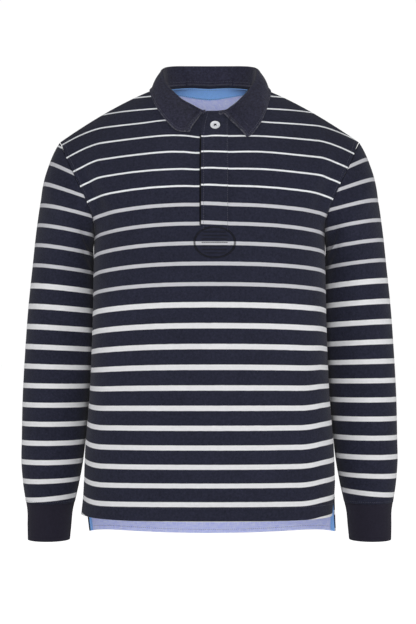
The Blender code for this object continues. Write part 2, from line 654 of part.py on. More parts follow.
def push_clear(points):
    """Move the collar's points out until they lie over the body panels and the placket."""
    samples = []
    normals = []
    for panel in ("front", "back"):
        across, share = np.meshgrid(np.linspace(-UNDER_LEAF_ACROSS, UNDER_LEAF_ACROSS, UNDER_LEAF_COLUMNS),
                                    np.linspace(0.0, 1.0, UNDER_LEAF_ROWS))
        up = UNDER_LEAF_UP + share * (neck_up(panel, across) - UNDER_LEAF_UP)
        samples.append(panel_surface(panel, across, up).reshape(-1, 3))
        normals.append(panel_normal(panel, across, up).reshape(-1, 3))
    samples = np.concatenate(samples)
    normals = np.concatenate(normals)
    flat = points.reshape(-1, 3)
    middle = 0.5 * (PLACKET_RIGHT_EDGE + PLACKET_LEFT_EDGE)
    half = 0.5 * (PLACKET_LEFT_EDGE - PLACKET_RIGHT_EDGE)
    for _ in range(CLEAR_PASSES):
        nearest = np.array([np.argmin(np.sum((samples - point) ** 2, axis=1)) for point in flat])
        height = np.sum((flat - samples[nearest]) * normals[nearest], axis=1)
        on_band = np.clip((half + BAND_MARGIN - np.abs(flat[:, 0] - middle)) / BAND_FADE, 0.0, 1.0)
        in_front = np.where(flat[:, 1] < 0, 1.0, 0.0)
        on_ridge = np.exp(-(flat[:, 1] / RIDGE_WIDTH) ** 2)
        needed = TWILL + LEAF_CLEAR + RIDGE_CLEAR * on_ridge + (BAND_LIFT + BAND_CLEAR) * on_band * in_front
        flat = flat + normals[nearest] * np.maximum(needed - height, 0.0)[:, None]
    return flat.reshape(points.shape)


def collar_grid():
    """The collar's face side: up the stand on the neck side, over the roll and down the leaf."""
    around = np.linspace(0.0, 1.0, COLLAR_AROUND_STEPS + 1)
    stations = [section[1] for section in COLLAR_SECTIONS]
    table = np.array([section[2:] for section in COLLAR_SECTIONS], dtype=float)
    turn = curve_through(stations, table[:, 0], around)
    roll = curve_through(stations, table[:, 1:4], around)
    leaf = curve_through(stations, table[:, 4:7], around)
    rim, rim_normal = neckline(turn)
    to_neck = unit(np.cross(rim_normal, np.gradient(rim, axis=0)))
    to_neck *= np.where(np.sum(to_neck * (roll - rim), axis=-1, keepdims=True) < 0, -1.0, 1.0)
    level = unit(to_neck * np.array((1.0, 1.0, 0.0)))
    base = rim + to_neck * (2 * SEAM_GAP) + level * TWILL
    rise = unit(roll - base)
    out = leaf - roll
    out = unit(out - rise * np.sum(out * rise, axis=-1, keepdims=True))
    radius = COLLAR_ROLL_RADIUS
    rows = []
    shoulder = roll - rise * radius
    for i in range(STAND_STEPS):
        rows.append(base + (shoulder - base) * i / STAND_STEPS)
    for i in range(ROLL_STEPS + 1):
        turn = math.pi * i / ROLL_STEPS
        rows.append(shoulder + out * radius * (1 - math.cos(turn)) + rise * radius * math.sin(turn))
    top = rows[-1]
    bow = unit(np.cross(np.gradient(leaf, axis=0), leaf - top)) * FALL_BULGE
    bow *= np.sign(np.sum(bow * out, axis=-1, keepdims=True))
    for i in range(1, FALL_STEPS + 1):
        share = i / FALL_STEPS
        rows.append(top + (leaf - top) * share + bow * 4 * share * (1 - share))
    grid = np.array(rows)
    fall_start = STAND_STEPS + ROLL_STEPS
    grid[fall_start:] = push_clear(grid[fall_start:])
    return grid


def grid_normal(grid):
    """Normals of a grid from its neighbouring points."""
    return unit(np.cross(np.gradient(grid, axis=1), np.gradient(grid, axis=0)))


def make_collar(collection):
    """The collar: stand and leaf in one doubled twill wall."""
    grid = collar_grid()
    inner = grid - grid_normal(grid) * TWILL
    cloth_wall("collar", grid, inner, "navy_twill", collection)


def make_neck_tape(collection):
    """The tape that covers the back neck seam on the inside."""
    columns, rows = NECK_TAPE_POINTS
    across = np.linspace(-NECK_TAPE_ACROSS, NECK_TAPE_ACROSS, columns)[None, :]
    share = np.linspace(0.0, 1.0, rows)[:, None]
    up = neck_up("back", across) - NECK_TAPE_TOP_DROP - NECK_TAPE_DROP * (1 - share)
    lift = -(JERSEY + FACING_GAP + TAPE + FACING_GAP)
    sewn_inside("neck_tape", "back", across, up, lift, "blue_tape", collection)


def make_neck_facing(collection):
    """The half-moon facing inside the back, below the neck seam."""
    columns, rows = FACING_POINTS
    across = np.linspace(-FACING_ACROSS, FACING_ACROSS, columns)[None, :]
    share = np.linspace(0.0, 1.0, rows)[:, None]
    top = neck_up("back", across) - FACING_TOP_DROP
    half_moon = np.sqrt(np.clip(1 - (across / FACING_ACROSS) ** 2, 0.0, 1.0))
    bottom = np.minimum(neck_up("back", 0.0) - FACING_DROP * half_moon, top - FACING_LEAST_DEPTH)
    up = bottom + (top - bottom) * share
    lift = -(JERSEY + FACING_GAP)
    sewn_inside("neck_facing", "back", across, up, lift, "lilac_chambray", collection)


def make_hem_facing(collection):
    """The strip that faces the back hem on the inside."""
    columns, rows = HEM_FACING_POINTS
    across, up = np.meshgrid(np.linspace(-HEM_FACING_ACROSS, HEM_FACING_ACROSS, columns),
                             np.linspace(HEM_EDGE_UP, HEM_FACING_TOP_UP, rows))
    sewn_inside("hem_facing_back", "back", across, up, -(JERSEY + INSIDE_GAP), "lilac_chambray", collection)


def make_vent_tapes(collection):
    """A tape along the inside of each of the four vent edges."""
    columns, rows = VENT_TAPE_POINTS
    lift = -(JERSEY + INSIDE_GAP)
    for panel in ("front", "back"):
        for side, mirror in (("left", 1.0), ("right", -1.0)):
            across, up = np.meshgrid(np.linspace(VENT_TAPE_FROM, VENT_TAPE_TO, columns) * mirror,
                                     np.linspace(HEM_EDGE_UP, VENT_TOP_UP, rows))
            if mirror < 0:
                across = across[:, ::-1]
            sewn_inside(f"vent_tape_{panel}_{side}", panel, across, up, lift, "blue_tape", collection)


def make_button(collection):
    """The neck button: a turned disc with a rim and four drilled holes."""
    across, up = panel_place("front", BUTTON_X, BUTTON_Z)
    seat = panel_surface("front", across, up, BAND_LIFT + SEAM_GAP)
    normal = panel_normal("front", across, up)
    profile = [(BUTTON_RADIUS - rims * BUTTON_RIM, 0.0, share * BUTTON_THICKNESS)
               for _, rims, share in BUTTON_PROFILE]
    outline = bpy.data.meshes.new("button_outline")
    points = [(0.0, 0.0, profile[0][2])] + profile + [(0.0, 0.0, 0.0)]
    outline.from_pydata(points, [(i, i + 1) for i in range(len(points) - 1)], [])
    button = bpy.data.objects.new("button_neck", outline)
    collection.objects.link(button)
    outline.materials.append(make_material("button_neck", "button_white"))
    screw = button.modifiers.new("turned", "SCREW")
    screw.steps = BUTTON_SIDES
    screw.render_steps = BUTTON_SIDES
    screw.use_merge_vertices = True
    screw.merge_threshold = 0.00001
    tilt = math.atan2(-normal[2], -normal[1])
    button.location = tuple(seat)
    button.rotation_euler = (0.5 * math.pi + tilt, 0.0, 0.0)
    return button


def drill_button(button, cutters):
    """Four thread holes through the button."""
    for i in range(4):
        turn = math.radians(45 + 90 * i)
        bpy.ops.mesh.primitive_cylinder_add(vertices=BUTTON_HOLE_SIDES, radius=BUTTON_HOLE_RADIUS,
                                            depth=3 * BUTTON_THICKNESS)
        cutter = bpy.context.object
        cutter.name = f"button_hole_{i + 1}"
        for owner in list(cutter.users_collection):
            owner.objects.unlink(cutter)
        cutters.objects.link(cutter)
        cutter.parent = button
        cutter.location = (BUTTON_HOLE_SPREAD * math.cos(turn), BUTTON_HOLE_SPREAD * math.sin(turn), 0.0)
        cutter.hide_render = True
        cutter.display_type = "WIRE"
        cut = button.modifiers.new(cutter.name, "BOOLEAN")
        cut.operation = "DIFFERENCE"
        cut.object = cutter


def main():
    clear_scene()
    collection = bpy.data.collections.new("long_sleeve_polo")
    cutters = bpy.data.collections.new("cutters")
    bpy.context.scene.collection.children.link(collection)
    bpy.context.scene.collection.children.link(cutters)
    make_panel("front", collection)
    make_panel("back", collection)
    for side, mirror in (("left", 1.0), ("right", -1.0)):
        make_sleeve(side, mirror, collection)
        make_cuff(side, mirror, collection)
    make_placket(collection)
    make_collar(collection)
    make_neck_tape(collection)
    make_neck_facing(collection)
    make_hem_facing(collection)
    make_vent_tapes(collection)
    drill_button(make_button(collection), cutters)


main()
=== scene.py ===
# %% [markdown]
# A striped long-sleeve polo shirt
# The shirt is filled out as if someone wore it, with nobody inside. Every cut piece of cloth is a
# thin wall on the same form as its CAD solid, sampled far more finely, so that soft folds, hems and
# stitches can sit on it. Left and right are the wearer's, and the front faces -Y.

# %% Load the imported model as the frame
import math

import bpy
import mathutils.kdtree
import numpy as np
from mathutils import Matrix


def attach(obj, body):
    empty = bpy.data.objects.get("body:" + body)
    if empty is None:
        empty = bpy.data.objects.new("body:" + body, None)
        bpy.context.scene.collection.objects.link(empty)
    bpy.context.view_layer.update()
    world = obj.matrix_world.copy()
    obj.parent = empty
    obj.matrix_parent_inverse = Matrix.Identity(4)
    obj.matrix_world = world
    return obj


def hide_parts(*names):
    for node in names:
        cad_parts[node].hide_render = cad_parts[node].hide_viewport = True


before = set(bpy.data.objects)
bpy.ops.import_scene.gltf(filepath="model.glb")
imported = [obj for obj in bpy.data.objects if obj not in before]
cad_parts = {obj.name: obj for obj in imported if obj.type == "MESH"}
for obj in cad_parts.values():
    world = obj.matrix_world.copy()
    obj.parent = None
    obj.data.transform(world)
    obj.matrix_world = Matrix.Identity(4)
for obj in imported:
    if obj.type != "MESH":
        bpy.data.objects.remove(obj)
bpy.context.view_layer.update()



def add_object(name, data):
    """A new object in the scene."""
    obj = bpy.data.objects.new(name, data)
    bpy.context.scene.collection.objects.link(obj)
    return obj


for obj in list(bpy.context.selected_objects):
    obj.select_set(False)

# %% [markdown]
# Camera
# The photograph looks straight at the shirt from about 2.4 m, a little below its middle. Its frame
# is 416 by 624 pixels. A level camera with a small upward shift keeps the side seams upright.

# %% Camera
IMAGE_WIDTH = 416
IMAGE_HEIGHT = 624
METRES_PER_PIXEL = 0.00165
EYE_DISTANCE = 2.4
EYE_HEIGHT = -0.44
EYE_ROW = 355
MIDDLE_COLUMN = 209.5

camera_data = bpy.data.cameras.new("camera")
camera = add_object("camera", camera_data)
camera.location = (0.0, -EYE_DISTANCE, EYE_HEIGHT)
camera.rotation_euler = (math.radians(90), 0.0, 0.0)
view_height = IMAGE_HEIGHT * METRES_PER_PIXEL
camera_data.lens = camera_data.sensor_width * EYE_DISTANCE / view_height
camera_data.shift_x = (IMAGE_WIDTH / 2 - MIDDLE_COLUMN) / IMAGE_HEIGHT
camera_data.shift_y = (EYE_ROW - IMAGE_HEIGHT / 2) / IMAGE_HEIGHT
bpy.context.scene.camera = camera
print("camera lens", round(camera_data.lens, 1), "mm")

# %% [markdown]
# Light and floor
# Product photographs of dark clothes use large soft lights on both sides, which draw a pale edge
# down each sleeve, and a gentle one from the front. Two small fills reach into the neck and under
# the front hem, where pale cloth shows. The floor is a plain pale plane below the shirt. The world
# lights softly from everywhere, and shows as white behind the shirt.

# %% Light and floor
FLOOR_HEIGHT = -0.800
FLOOR_SIZE = 60.0
FLOOR_MIDDLE_Y = 20.0
FLOOR_GREY = (0.93, 0.93, 0.93, 1.0)
FLOOR_ROUGHNESS = 0.9
FLOOR_SEEN = 0.95
FLOOR_GLOW = 0.15
WORLD_LIGHT = 0.06
WORLD_SEEN = 1.02
WHITE = (1.0, 1.0, 1.0, 1.0)
AIM = (0.0, 0.0, -0.36)

# Columns: light, place, width and height, power in watts.
SOFTBOXES = (
    ("side light right", (-1.9, -0.7, -0.1), (0.8, 1.9), 9.5),
    ("side light left", (1.9, -0.7, -0.1), (0.8, 1.9), 12.0),
    ("front light", (0.0, -3.1, -0.1), (1.5, 1.8), 49.0),
    ("top light", (0.0, -0.5, 1.7), (1.8, 1.2), 4.0),
)

# The fills: place, aim, cone in degrees or width and height, power in watts.
NECK_FILL = ((0.0, -2.35, -0.30), (0.0, 0.06, -0.005), 5.5, 150.0)
NECK_FILL_SOFTNESS = 0.15
HEM_FILL = ((0.0, -0.04, -0.785), (0.0, 0.12, -0.735), (0.26, 0.03), 0.105)


def add_light(name, kind, place, aim, power):
    """A light that looks at a point."""
    data = bpy.data.lights.new(name, kind)
    data.energy = power
    light = add_object(name, data)
    light.location = place
    away = light.location - mathutils.Vector(aim)
    light.rotation_euler = away.to_track_quat("Z", "Y").to_euler()
    return light


def add_softbox(name, place, aim, size, power):
    """A rectangular area light."""
    light = add_light(name, "AREA", place, aim, power)
    light.data.shape = "RECTANGLE"
    light.data.size, light.data.size_y = size
    return light


def make_lights():
    """Large soft lights around the shirt and two small ones at the neck and the hem."""
    for name, place, size, power in SOFTBOXES:
        add_softbox(name, place, AIM, size, power)
    place, aim, cone, power = NECK_FILL
    spot = add_light("neck fill", "SPOT", place, aim, power)
    spot.data.spot_size = math.radians(cone)
    spot.data.spot_blend = 1.0
    spot.data.shadow_soft_size = NECK_FILL_SOFTNESS
    add_softbox("hem fill", *HEM_FILL).visible_camera = False


def seen_otherwise(tree, socket, unseen, seen):
    """Give a socket one value where the camera looks and another for all other light."""
    path = tree.nodes.new("ShaderNodeLightPath")
    mix = tree.nodes.new("ShaderNodeMix")
    mix.inputs[2].default_value = unseen
    mix.inputs[3].default_value = seen
    tree.links.new(path.outputs["Is Camera Ray"], mix.inputs[0])
    tree.links.new(mix.outputs[0], socket)


def make_world():
    """A world that lights softly and is white where the camera looks past the shirt."""
    world = bpy.data.worlds.new("studio")
    world.use_nodes = True
    background = world.node_tree.nodes["Background"]
    background.inputs["Color"].default_value = WHITE
    seen_otherwise(world.node_tree, background.inputs["Strength"], WORLD_LIGHT, WORLD_SEEN)
    bpy.context.scene.world = world


def make_floor():
    """A wide pale floor below the shirt."""
    bpy.ops.mesh.primitive_plane_add(size=FLOOR_SIZE, location=(0.0, FLOOR_MIDDLE_Y, FLOOR_HEIGHT))
    floor = bpy.context.object
    floor.name = "floor"
    material = bpy.data.materials.new("floor paint")
    material.use_nodes = True
    shader = material.node_tree.nodes["Principled BSDF"]
    shader.inputs["Base Color"].default_value = FLOOR_GREY
    shader.inputs["Roughness"].default_value = FLOOR_ROUGHNESS
    shader.inputs["Emission Color"].default_value = WHITE
    seen_otherwise(material.node_tree, shader.inputs["Emission Strength"], FLOOR_GLOW, FLOOR_SEEN)
    floor.data.materials.append(material)
    floor.select_set(False)


make_lights()
make_world()
make_floor()
bpy.context.scene.view_settings.view_transform = "Standard"
print("studio ready:", len(SOFTBOXES), "soft lights")

# %% [markdown]
# The form of the cloth
# A body panel is a stack of rows from the hem to the shoulder seam. A point on it has two numbers:
# across, which is 0 at mid-body and 1 at the side seam or armhole, and up, which is 0 at the hem
# and 1 at the shoulder seam. A sleeve is a stack of rings from the armhole to the cuff.

# %% Sizes of the cloth and its seams
JERSEY = 0.0018
RIB = 0.0022
TWILL = 0.0020
TAPE = 0.0010
SEAM_GAP = 0.0003
INSIDE_GAP = 0.0007
FACING_GAP = 0.0010
ARMPIT_UP = 0.62
VENT_TOP_UP = 0.060
NECK_ACROSS = 0.32
SEAM_ACROSS = 0.9994
SEAM_UP = 0.9996
NECK_DIP = {"front": 0.0673, "back": 0.040}
NECK_SQUARENESS = {"front": 1.9, "back": 1.55}
FINE_STEP = 1e-4

# Columns: row, up, edge_x, edge_y, edge_z, mid_y, mid_z, turn, fall, mid_hold, edge_hold.
FRONT_ROWS = (
    ("hem", 0.00, 0.2085, -0.0030, -0.702, -0.1200, -0.7020, 84, 0.00, 0.66, 0.078),
    ("vent top", 0.06, 0.2065, -0.0000, -0.645, -0.1225, -0.6450, 90, 0.00, 0.66, 0.080),
    ("hip", 0.12, 0.2050, 0.0000, -0.600, -0.1240, -0.6000, 90, 0.00, 0.66, 0.081),
    ("waist", 0.24, 0.1975, 0.0000, -0.505, -0.1265, -0.5050, 90, 0.00, 0.66, 0.082),
    ("rib", 0.40, 0.1925, 0.0000, -0.385, -0.1275, -0.3850, 90, 0.00, 0.67, 0.082),
    ("under chest", 0.54, 0.1910, 0.0040, -0.290, -0.1275, -0.2850, 90, 0.00, 0.68, 0.080),
    ("armpit", 0.62, 0.1905, 0.0120, -0.246, -0.1265, -0.2330, 90, 0.02, 0.68, 0.076),
    ("low armhole", 0.69, 0.1890, -0.0380, -0.221, -0.1225, -0.1930, 74, 0.05, 0.64, 0.046),
    ("chest", 0.75, 0.1965, -0.0600, -0.196, -0.1150, -0.1610, 50, 0.12, 0.60, 0.050),
    ("mid armhole", 0.81, 0.2085, -0.0600, -0.169, -0.1010, -0.1260, 36, 0.22, 0.54, 0.056),
    ("high armhole", 0.87, 0.2210, -0.0510, -0.143, -0.0810, -0.0900, 27, 0.36, 0.48, 0.062),
    ("collar bone", 0.93, 0.2350, -0.0310, -0.115, -0.0520, -0.0480, 18, 0.52, 0.40, 0.070),
    ("top", 0.965, 0.2413, -0.0165, -0.0990, -0.0280, -0.0120, 9, 0.62, 0.34, 0.076),
    ("shoulder", 1.00, 0.2465, 0.0000, -0.089, -0.0010, 0.0180, 0, 0.70, 0.30, 0.080),
)
BACK_ROWS = (
    ("hem", 0.00, 0.2060, 0.0180, -0.7325, 0.1180, -0.7480, 62, 0.00, 0.66, 0.066),
    ("vent top", 0.06, 0.2065, 0.0000, -0.645, 0.1170, -0.6700, 90, 0.00, 0.66, 0.076),
    ("hip", 0.12, 0.2050, 0.0000, -0.600, 0.1160, -0.6100, 90, 0.00, 0.66, 0.076),
    ("waist", 0.24, 0.1975, 0.0000, -0.505, 0.1130, -0.5050, 90, 0.00, 0.66, 0.075),
    ("rib", 0.40, 0.1925, 0.0000, -0.385, 0.1150, -0.3850, 90, 0.00, 0.66, 0.075),
    ("under chest", 0.54, 0.1910, 0.0040, -0.290, 0.1220, -0.2850, 90, 0.00, 0.66, 0.072),
    ("armpit", 0.62, 0.1905, 0.0120, -0.246, 0.1255, -0.2300, 90, 0.02, 0.66, 0.068),
    ("low armhole", 0.69, 0.1895, 0.0580, -0.222, 0.1265, -0.1850, 72, 0.05, 0.64, 0.044),
    ("shoulder blade", 0.75, 0.1965, 0.0820, -0.195, 0.1250, -0.1480, 50, 0.12, 0.60, 0.046),
    ("mid armhole", 0.81, 0.2085, 0.0850, -0.167, 0.1190, -0.1080, 34, 0.22, 0.54, 0.054),
    ("high armhole", 0.87, 0.2215, 0.0720, -0.139, 0.1060, -0.0620, 24, 0.36, 0.48, 0.062),
    ("yoke", 0.93, 0.2355, 0.0430, -0.112, 0.0830, -0.0140, 16, 0.52, 0.40, 0.070),
    ("nape", 0.965, 0.2415, 0.0220, -0.100, 0.0560, 0.0170, 9, 0.62, 0.34, 0.076),
    ("shoulder", 1.00, 0.2465, 0.0000, -0.089, -0.0010, 0.0180, 0, 0.70, 0.30, 0.080),
)
PANEL_ROWS = {"front": FRONT_ROWS, "back": BACK_ROWS}
VENT_CURL = {
    "front": {"left": 0.0095, "right": -0.0030},
    "back": {"left": -0.0045, "right": 0.0060},
}
VENT_CURL_FROM = 0.70

# Columns: ring, along, x, y, z, half_out, half_deep, tilt.
SLEEVE_RINGS = (
    ("upper arm", 0.055, 0.2321, 0.0150, -0.2036, 0.0697, 0.0740, 55.6),
    ("below armpit", 0.115, 0.2367, 0.0260, -0.2327, 0.0636, 0.0740, 45.6),
    ("upper sleeve", 0.175, 0.2400, 0.0350, -0.2595, 0.0588, 0.0730, 35.2),
    ("above elbow", 0.285, 0.2438, 0.0440, -0.3120, 0.0558, 0.0705, 17.5),
    ("elbow", 0.390, 0.2478, 0.0465, -0.3700, 0.0570, 0.0680, 7),
    ("below elbow", 0.490, 0.2512, 0.0450, -0.4260, 0.0575, 0.0660, 2),
    ("forearm", 0.650, 0.2575, 0.040, -0.5150, 0.0555, 0.0630, 0),
    ("low forearm", 0.770, 0.2603, 0.033, -0.5800, 0.0532, 0.0595, 0),
    ("above wrist", 0.840, 0.2623, 0.028, -0.6170, 0.0512, 0.0570, 0),
    ("wrist", 0.900, 0.2635, 0.024, -0.6480, 0.0472, 0.0530, 0),
    ("cuff seam", 1.000, 0.2643, 0.018, -0.6840, 0.0405, 0.0450, 0),
)
SLEEVE_START = 0.0010
CAP_SWELL = 0.0030
CAP_REACH = 0.075
CAP_WIDTH = 0.12
CAP_WAY = (0.90, 0.0, 0.42)
# Scales share * (1 - share) ** 2 so that its peak is 1.
CAP_PEAK = 6.75
CUFF_RINGS = (
    ("cuff seam", 0.00, 0.2643, 0.018, -0.6844, 0.0400, 0.0440, 0),
    ("pulled in", 0.18, 0.2646, 0.0165, -0.6960, 0.0378, 0.0415, 0),
    ("middle", 0.60, 0.2654, 0.0130, -0.7220, 0.0362, 0.0398, 0),
    ("edge", 1.00, 0.2660, 0.0100, -0.7450, 0.0348, 0.0385, 0),
)
print("panels", list(PANEL_ROWS), "and", len(SLEEVE_RINGS), "sleeve rings")

# %% [markdown]
# Creases
# The photograph shows a smooth shirt with few creases: a pull from each armpit, a faint hang below
# the chest, and slack in the sleeves. Each is a soft trough or ridge with its own place, length,
# width and depth. The back, which the photograph doesn't show, has creases of the same kind.

# %% Creases
# Columns: fold, x, z, direction in degrees from +X, length, width, depth (below zero stands out).
PANEL_FOLDS = {
    "front": (
        ("drag to right armpit", -0.192, -0.175, 118, 0.110, 0.013, 0.0050),
        ("ridge beside it", -0.168, -0.165, 112, 0.120, 0.016, -0.0030),
        ("drag to left armpit", 0.190, -0.172, 64, 0.100, 0.013, 0.0045),
        ("ridge beside it, left", 0.166, -0.165, 68, 0.115, 0.016, -0.0025),
        ("soft hang, right", -0.120, -0.430, 82, 0.260, 0.030, 0.0030),
        ("soft hang, left", 0.105, -0.470, 97, 0.300, 0.032, 0.0030),
        ("short pull, right armpit", -0.170, -0.222, 150, 0.050, 0.007, 0.0012),
        ("short pull, left armpit", 0.172, -0.228, 32, 0.046, 0.007, 0.0010),
        ("slack over right hip", -0.150, -0.600, 20, 0.090, 0.016, 0.0012),
        ("slack over left hip", 0.158, -0.560, 162, 0.080, 0.014, 0.0011),
        ("below placket", 0.012, -0.330, 78, 0.110, 0.016, -0.0009),
    ),
    "back": (
        ("drag to right armpit", -0.185, -0.180, 122, 0.120, 0.014, 0.0050),
        ("drag to left armpit", 0.188, -0.178, 60, 0.110, 0.014, 0.0050),
        ("small of the back", 0.015, -0.420, 4, 0.240, 0.030, 0.0045),
        ("above the seat", -0.040, -0.500, 174, 0.180, 0.026, 0.0030),
        ("soft hang, left", 0.115, -0.520, 95, 0.260, 0.034, -0.0035),
        ("shoulder blade pull, right", -0.120, -0.150, 130, 0.090, 0.014, 0.0014),
        ("shoulder blade pull, left", 0.128, -0.142, 54, 0.080, 0.013, 0.0012),
        ("slack over right hip", -0.140, -0.610, 16, 0.100, 0.016, 0.0014),
        ("slack over left hip", 0.150, -0.585, 168, 0.090, 0.014, 0.0012),
    ),
}

# Columns: fold, around, along, slant, length, width, depth.
SLEEVE_FOLDS = (
    ("armpit pinch", 0.440, 0.075, 0.10, 0.200, 0.028, 0.0035),
    ("second pinch", 0.420, 0.150, 0.12, 0.180, 0.030, 0.0030),
    ("inside elbow", 0.300, 0.430, 0.10, 0.220, 0.026, 0.0032),
    ("below the elbow", 0.340, 0.520, -0.08, 0.200, 0.026, 0.0026),
    ("back of elbow", 0.780, 0.455, 0.06, 0.200, 0.030, 0.0028),
    ("slack at cuff", 0.200, 0.860, 0.05, 0.240, 0.024, 0.0020),
    ("short nick at armpit", 0.380, 0.060, 0.05, 0.090, 0.012, 0.0012),
    ("second nick", 0.400, 0.215, 0.06, 0.120, 0.016, 0.0012),
    ("nick behind elbow", 0.700, 0.520, -0.05, 0.140, 0.016, 0.0014),
    ("front of wrist", 0.300, 0.930, 0.03, 0.130, 0.012, 0.0010),
    ("back of wrist", 0.720, 0.905, -0.03, 0.140, 0.013, 0.0011),
)
CALM_FROM = 0.995
CALM_ACROSS = 0.10
CALM_ALONG = 0.05
print("creases:", sum(len(folds) for folds in PANEL_FOLDS.values()), "on the body,",
      len(SLEEVE_FOLDS), "on each sleeve")

# %% [markdown]
# Reading the tables
# A smooth curve through the rows of a table turns a few measured sections into a whole surface.
# The helpers below read the body panels, the sleeves and the cuffs at any place, with the outward
# normal there, so that walls, tapes and stitches can be laid on them.

# %% Curves and surfaces


def curve_through(stations, values, at):
    """Read a smooth curve through a table's rows: cubic pieces with finite-difference slopes."""
    stations = np.asarray(stations, dtype=float)
    values = np.asarray(values, dtype=float)
    at = np.asarray(at, dtype=float)
    slopes = np.gradient(values, stations, axis=0)
    low = np.clip(np.searchsorted(stations, at, side="right") - 1, 0, len(stations) - 2)
    width = stations[low + 1] - stations[low]
    part = (at - stations[low]) / width
    shape = at.shape + (1,) * (values.ndim - 1)
    part = part.reshape(shape)
    width = width.reshape(shape)
    left = 1 - part
    rising = values[low] * (1 + 2 * part) * left ** 2 + slopes[low] * width * part * left ** 2
    falling = values[low + 1] * part ** 2 * (3 - 2 * part) - slopes[low + 1] * width * part ** 2 * left
    return rising + falling


def bezier(start, first, second, end, t):
    """Point of a cubic Bezier curve."""
    t = t[..., None]
    left = 1 - t
    return start * left ** 3 + 3 * first * t * left ** 2 + 3 * second * t ** 2 * left + end * t ** 3


def same_shape(first, second):
    """Two numbers or grids of numbers as arrays of one shape."""
    return np.broadcast_arrays(np.asarray(first, dtype=float), np.asarray(second, dtype=float))


def unit(vectors):
    """Vectors at length 1."""
    return vectors / np.linalg.norm(vectors, axis=-1, keepdims=True)


def panel_edge(rows, up):
    """A panel's edge as three runs that meet in corners: vent, side seam and armhole."""
    edge = np.zeros(up.shape + (3,))
    for start, end in ((0.0, VENT_TOP_UP), (VENT_TOP_UP, ARMPIT_UP), (ARMPIT_UP, 1.0)):
        run = [row for row in rows if start <= row[1] <= end]
        found = curve_through([row[1] for row in run], [row[2:5] for row in run], up)
        inside = (up > start) | (start == 0.0)
        edge = np.where(inside[..., None], found, edge)
    return edge


def panel_form(panel, across, up):
    """The plain form of a body panel, before its folds."""
    across, up = same_shape(across, up)
    rows = PANEL_ROWS[panel]
    read = curve_through([row[1] for row in rows], [row[5:] for row in rows], up)
    mid_y, mid_z, turn, fall, mid_hold, edge_hold = np.moveaxis(read, -1, 0)
    edge = panel_edge(rows, up)
    facing = -1.0 if panel == "front" else 1.0
    turn = np.radians(turn)
    middle = np.stack((0 * mid_y, mid_y, mid_z), axis=-1)
    flat = np.stack((mid_hold * edge[..., 0], mid_y, mid_z), axis=-1)
    back_off = np.stack((-np.cos(turn), facing * np.sin(turn), fall), axis=-1)
    near_edge = edge + back_off * edge_hold[..., None]
    point = bezier(middle, flat, near_edge, edge, np.abs(across))
    curl = np.where(across < 0, VENT_CURL[panel]["right"], VENT_CURL[panel]["left"])
    corner = np.clip((np.abs(across) - VENT_CURL_FROM) / (1 - VENT_CURL_FROM), 0.0, None) ** 2
    point[..., 0] -= curl * corner * np.clip(1 - up / VENT_TOP_UP, 0.0, None) ** 1.5
    point[..., 0] *= np.where(across < 0, -1.0, 1.0)
    return point


def panel_normal(panel, across, up):
    """Outward normal of a body panel."""
    step = FINE_STEP
    sideways = panel_form(panel, across + step, up) - panel_form(panel, across - step, up)
    upward = panel_form(panel, across, up + step) - panel_form(panel, across, up - step)
    facing = 1.0 if panel == "front" else -1.0
    return unit(np.cross(sideways, upward)) * facing


def fold_depth(folds, first, second):
    """How far folds sink a surface in at a place, each a soft trough with fading ends."""
    depth = np.zeros(np.broadcast(first, second).shape)
    for _, first_middle, second_middle, direction, length, width, sink in folds:
        angle = math.radians(direction)
        first_off = first - first_middle
        second_off = second - second_middle
        along = (first_off * math.cos(angle) + second_off * math.sin(angle)) / (0.5 * length)
        aside = (second_off * math.cos(angle) - first_off * math.sin(angle)) / width
        depth = depth + sink * np.exp(-aside ** 2 - along ** 4)
    return depth


def panel_surface(panel, across, up, lift=0.0):
    """Points on a panel's outer face or, with a lift, parallel to it."""
    across, up = same_shape(across, up)
    form = panel_form(panel, across, up)
    calm = np.clip((CALM_FROM - np.abs(across)) / CALM_ACROSS, 0.0, 1.0)
    sink = fold_depth(PANEL_FOLDS[panel], form[..., 0], form[..., 2]) * calm
    return form + panel_normal(panel, across, up) * (lift - sink)[..., None]


def neck_up(panel, across):
    """How far up a panel reaches: to the neckline inside the neck, else to the shoulder seam."""
    inside = np.clip(1 - (np.abs(across) / NECK_ACROSS) ** NECK_SQUARENESS[panel], 0.0, 1.0)
    return SEAM_UP - NECK_DIP[panel] * inside ** (1 / NECK_SQUARENESS[panel])


def panel_place(panel, x, z):
    """Across and up of the panel point seen at x and z from the front, by Newton steps."""
    x, z = same_shape(x, z)
    across = x / 0.21
    up = np.clip((z + 0.70) / 0.75, 0.05, 0.95)
    step = FINE_STEP
    for _ in range(30):
        here = panel_form(panel, across, up)
        sideways = (panel_form(panel, across + step, up) - here) / step
        upward = (panel_form(panel, across, up + step) - here) / step
        short_x = x - here[..., 0]
        short_z = z - here[..., 2]
        area = sideways[..., 0] * upward[..., 2] - sideways[..., 2] * upward[..., 0]
        across = across + (short_x * upward[..., 2] - short_z * upward[..., 0]) / area
        up = up + (short_z * sideways[..., 0] - short_x * sideways[..., 2]) / area
    return across, up


def armhole_up(around):
    """Panel and up for a place around an armhole: 0 shoulder, 0.25 front, 0.5 armpit, 0.75 back."""
    half = 1 - np.abs(2 * around - 1)
    return np.where(around <= 0.5, 0, 1), 1 - (1 - ARMPIT_UP) * half


def armhole(around):
    """Points around the wearer's left armhole."""
    is_back, up = armhole_up(around)
    front = panel_form("front", 1.0, up)
    back = panel_form("back", 1.0, up)
    return np.where(is_back[..., None] == 1, back, front)


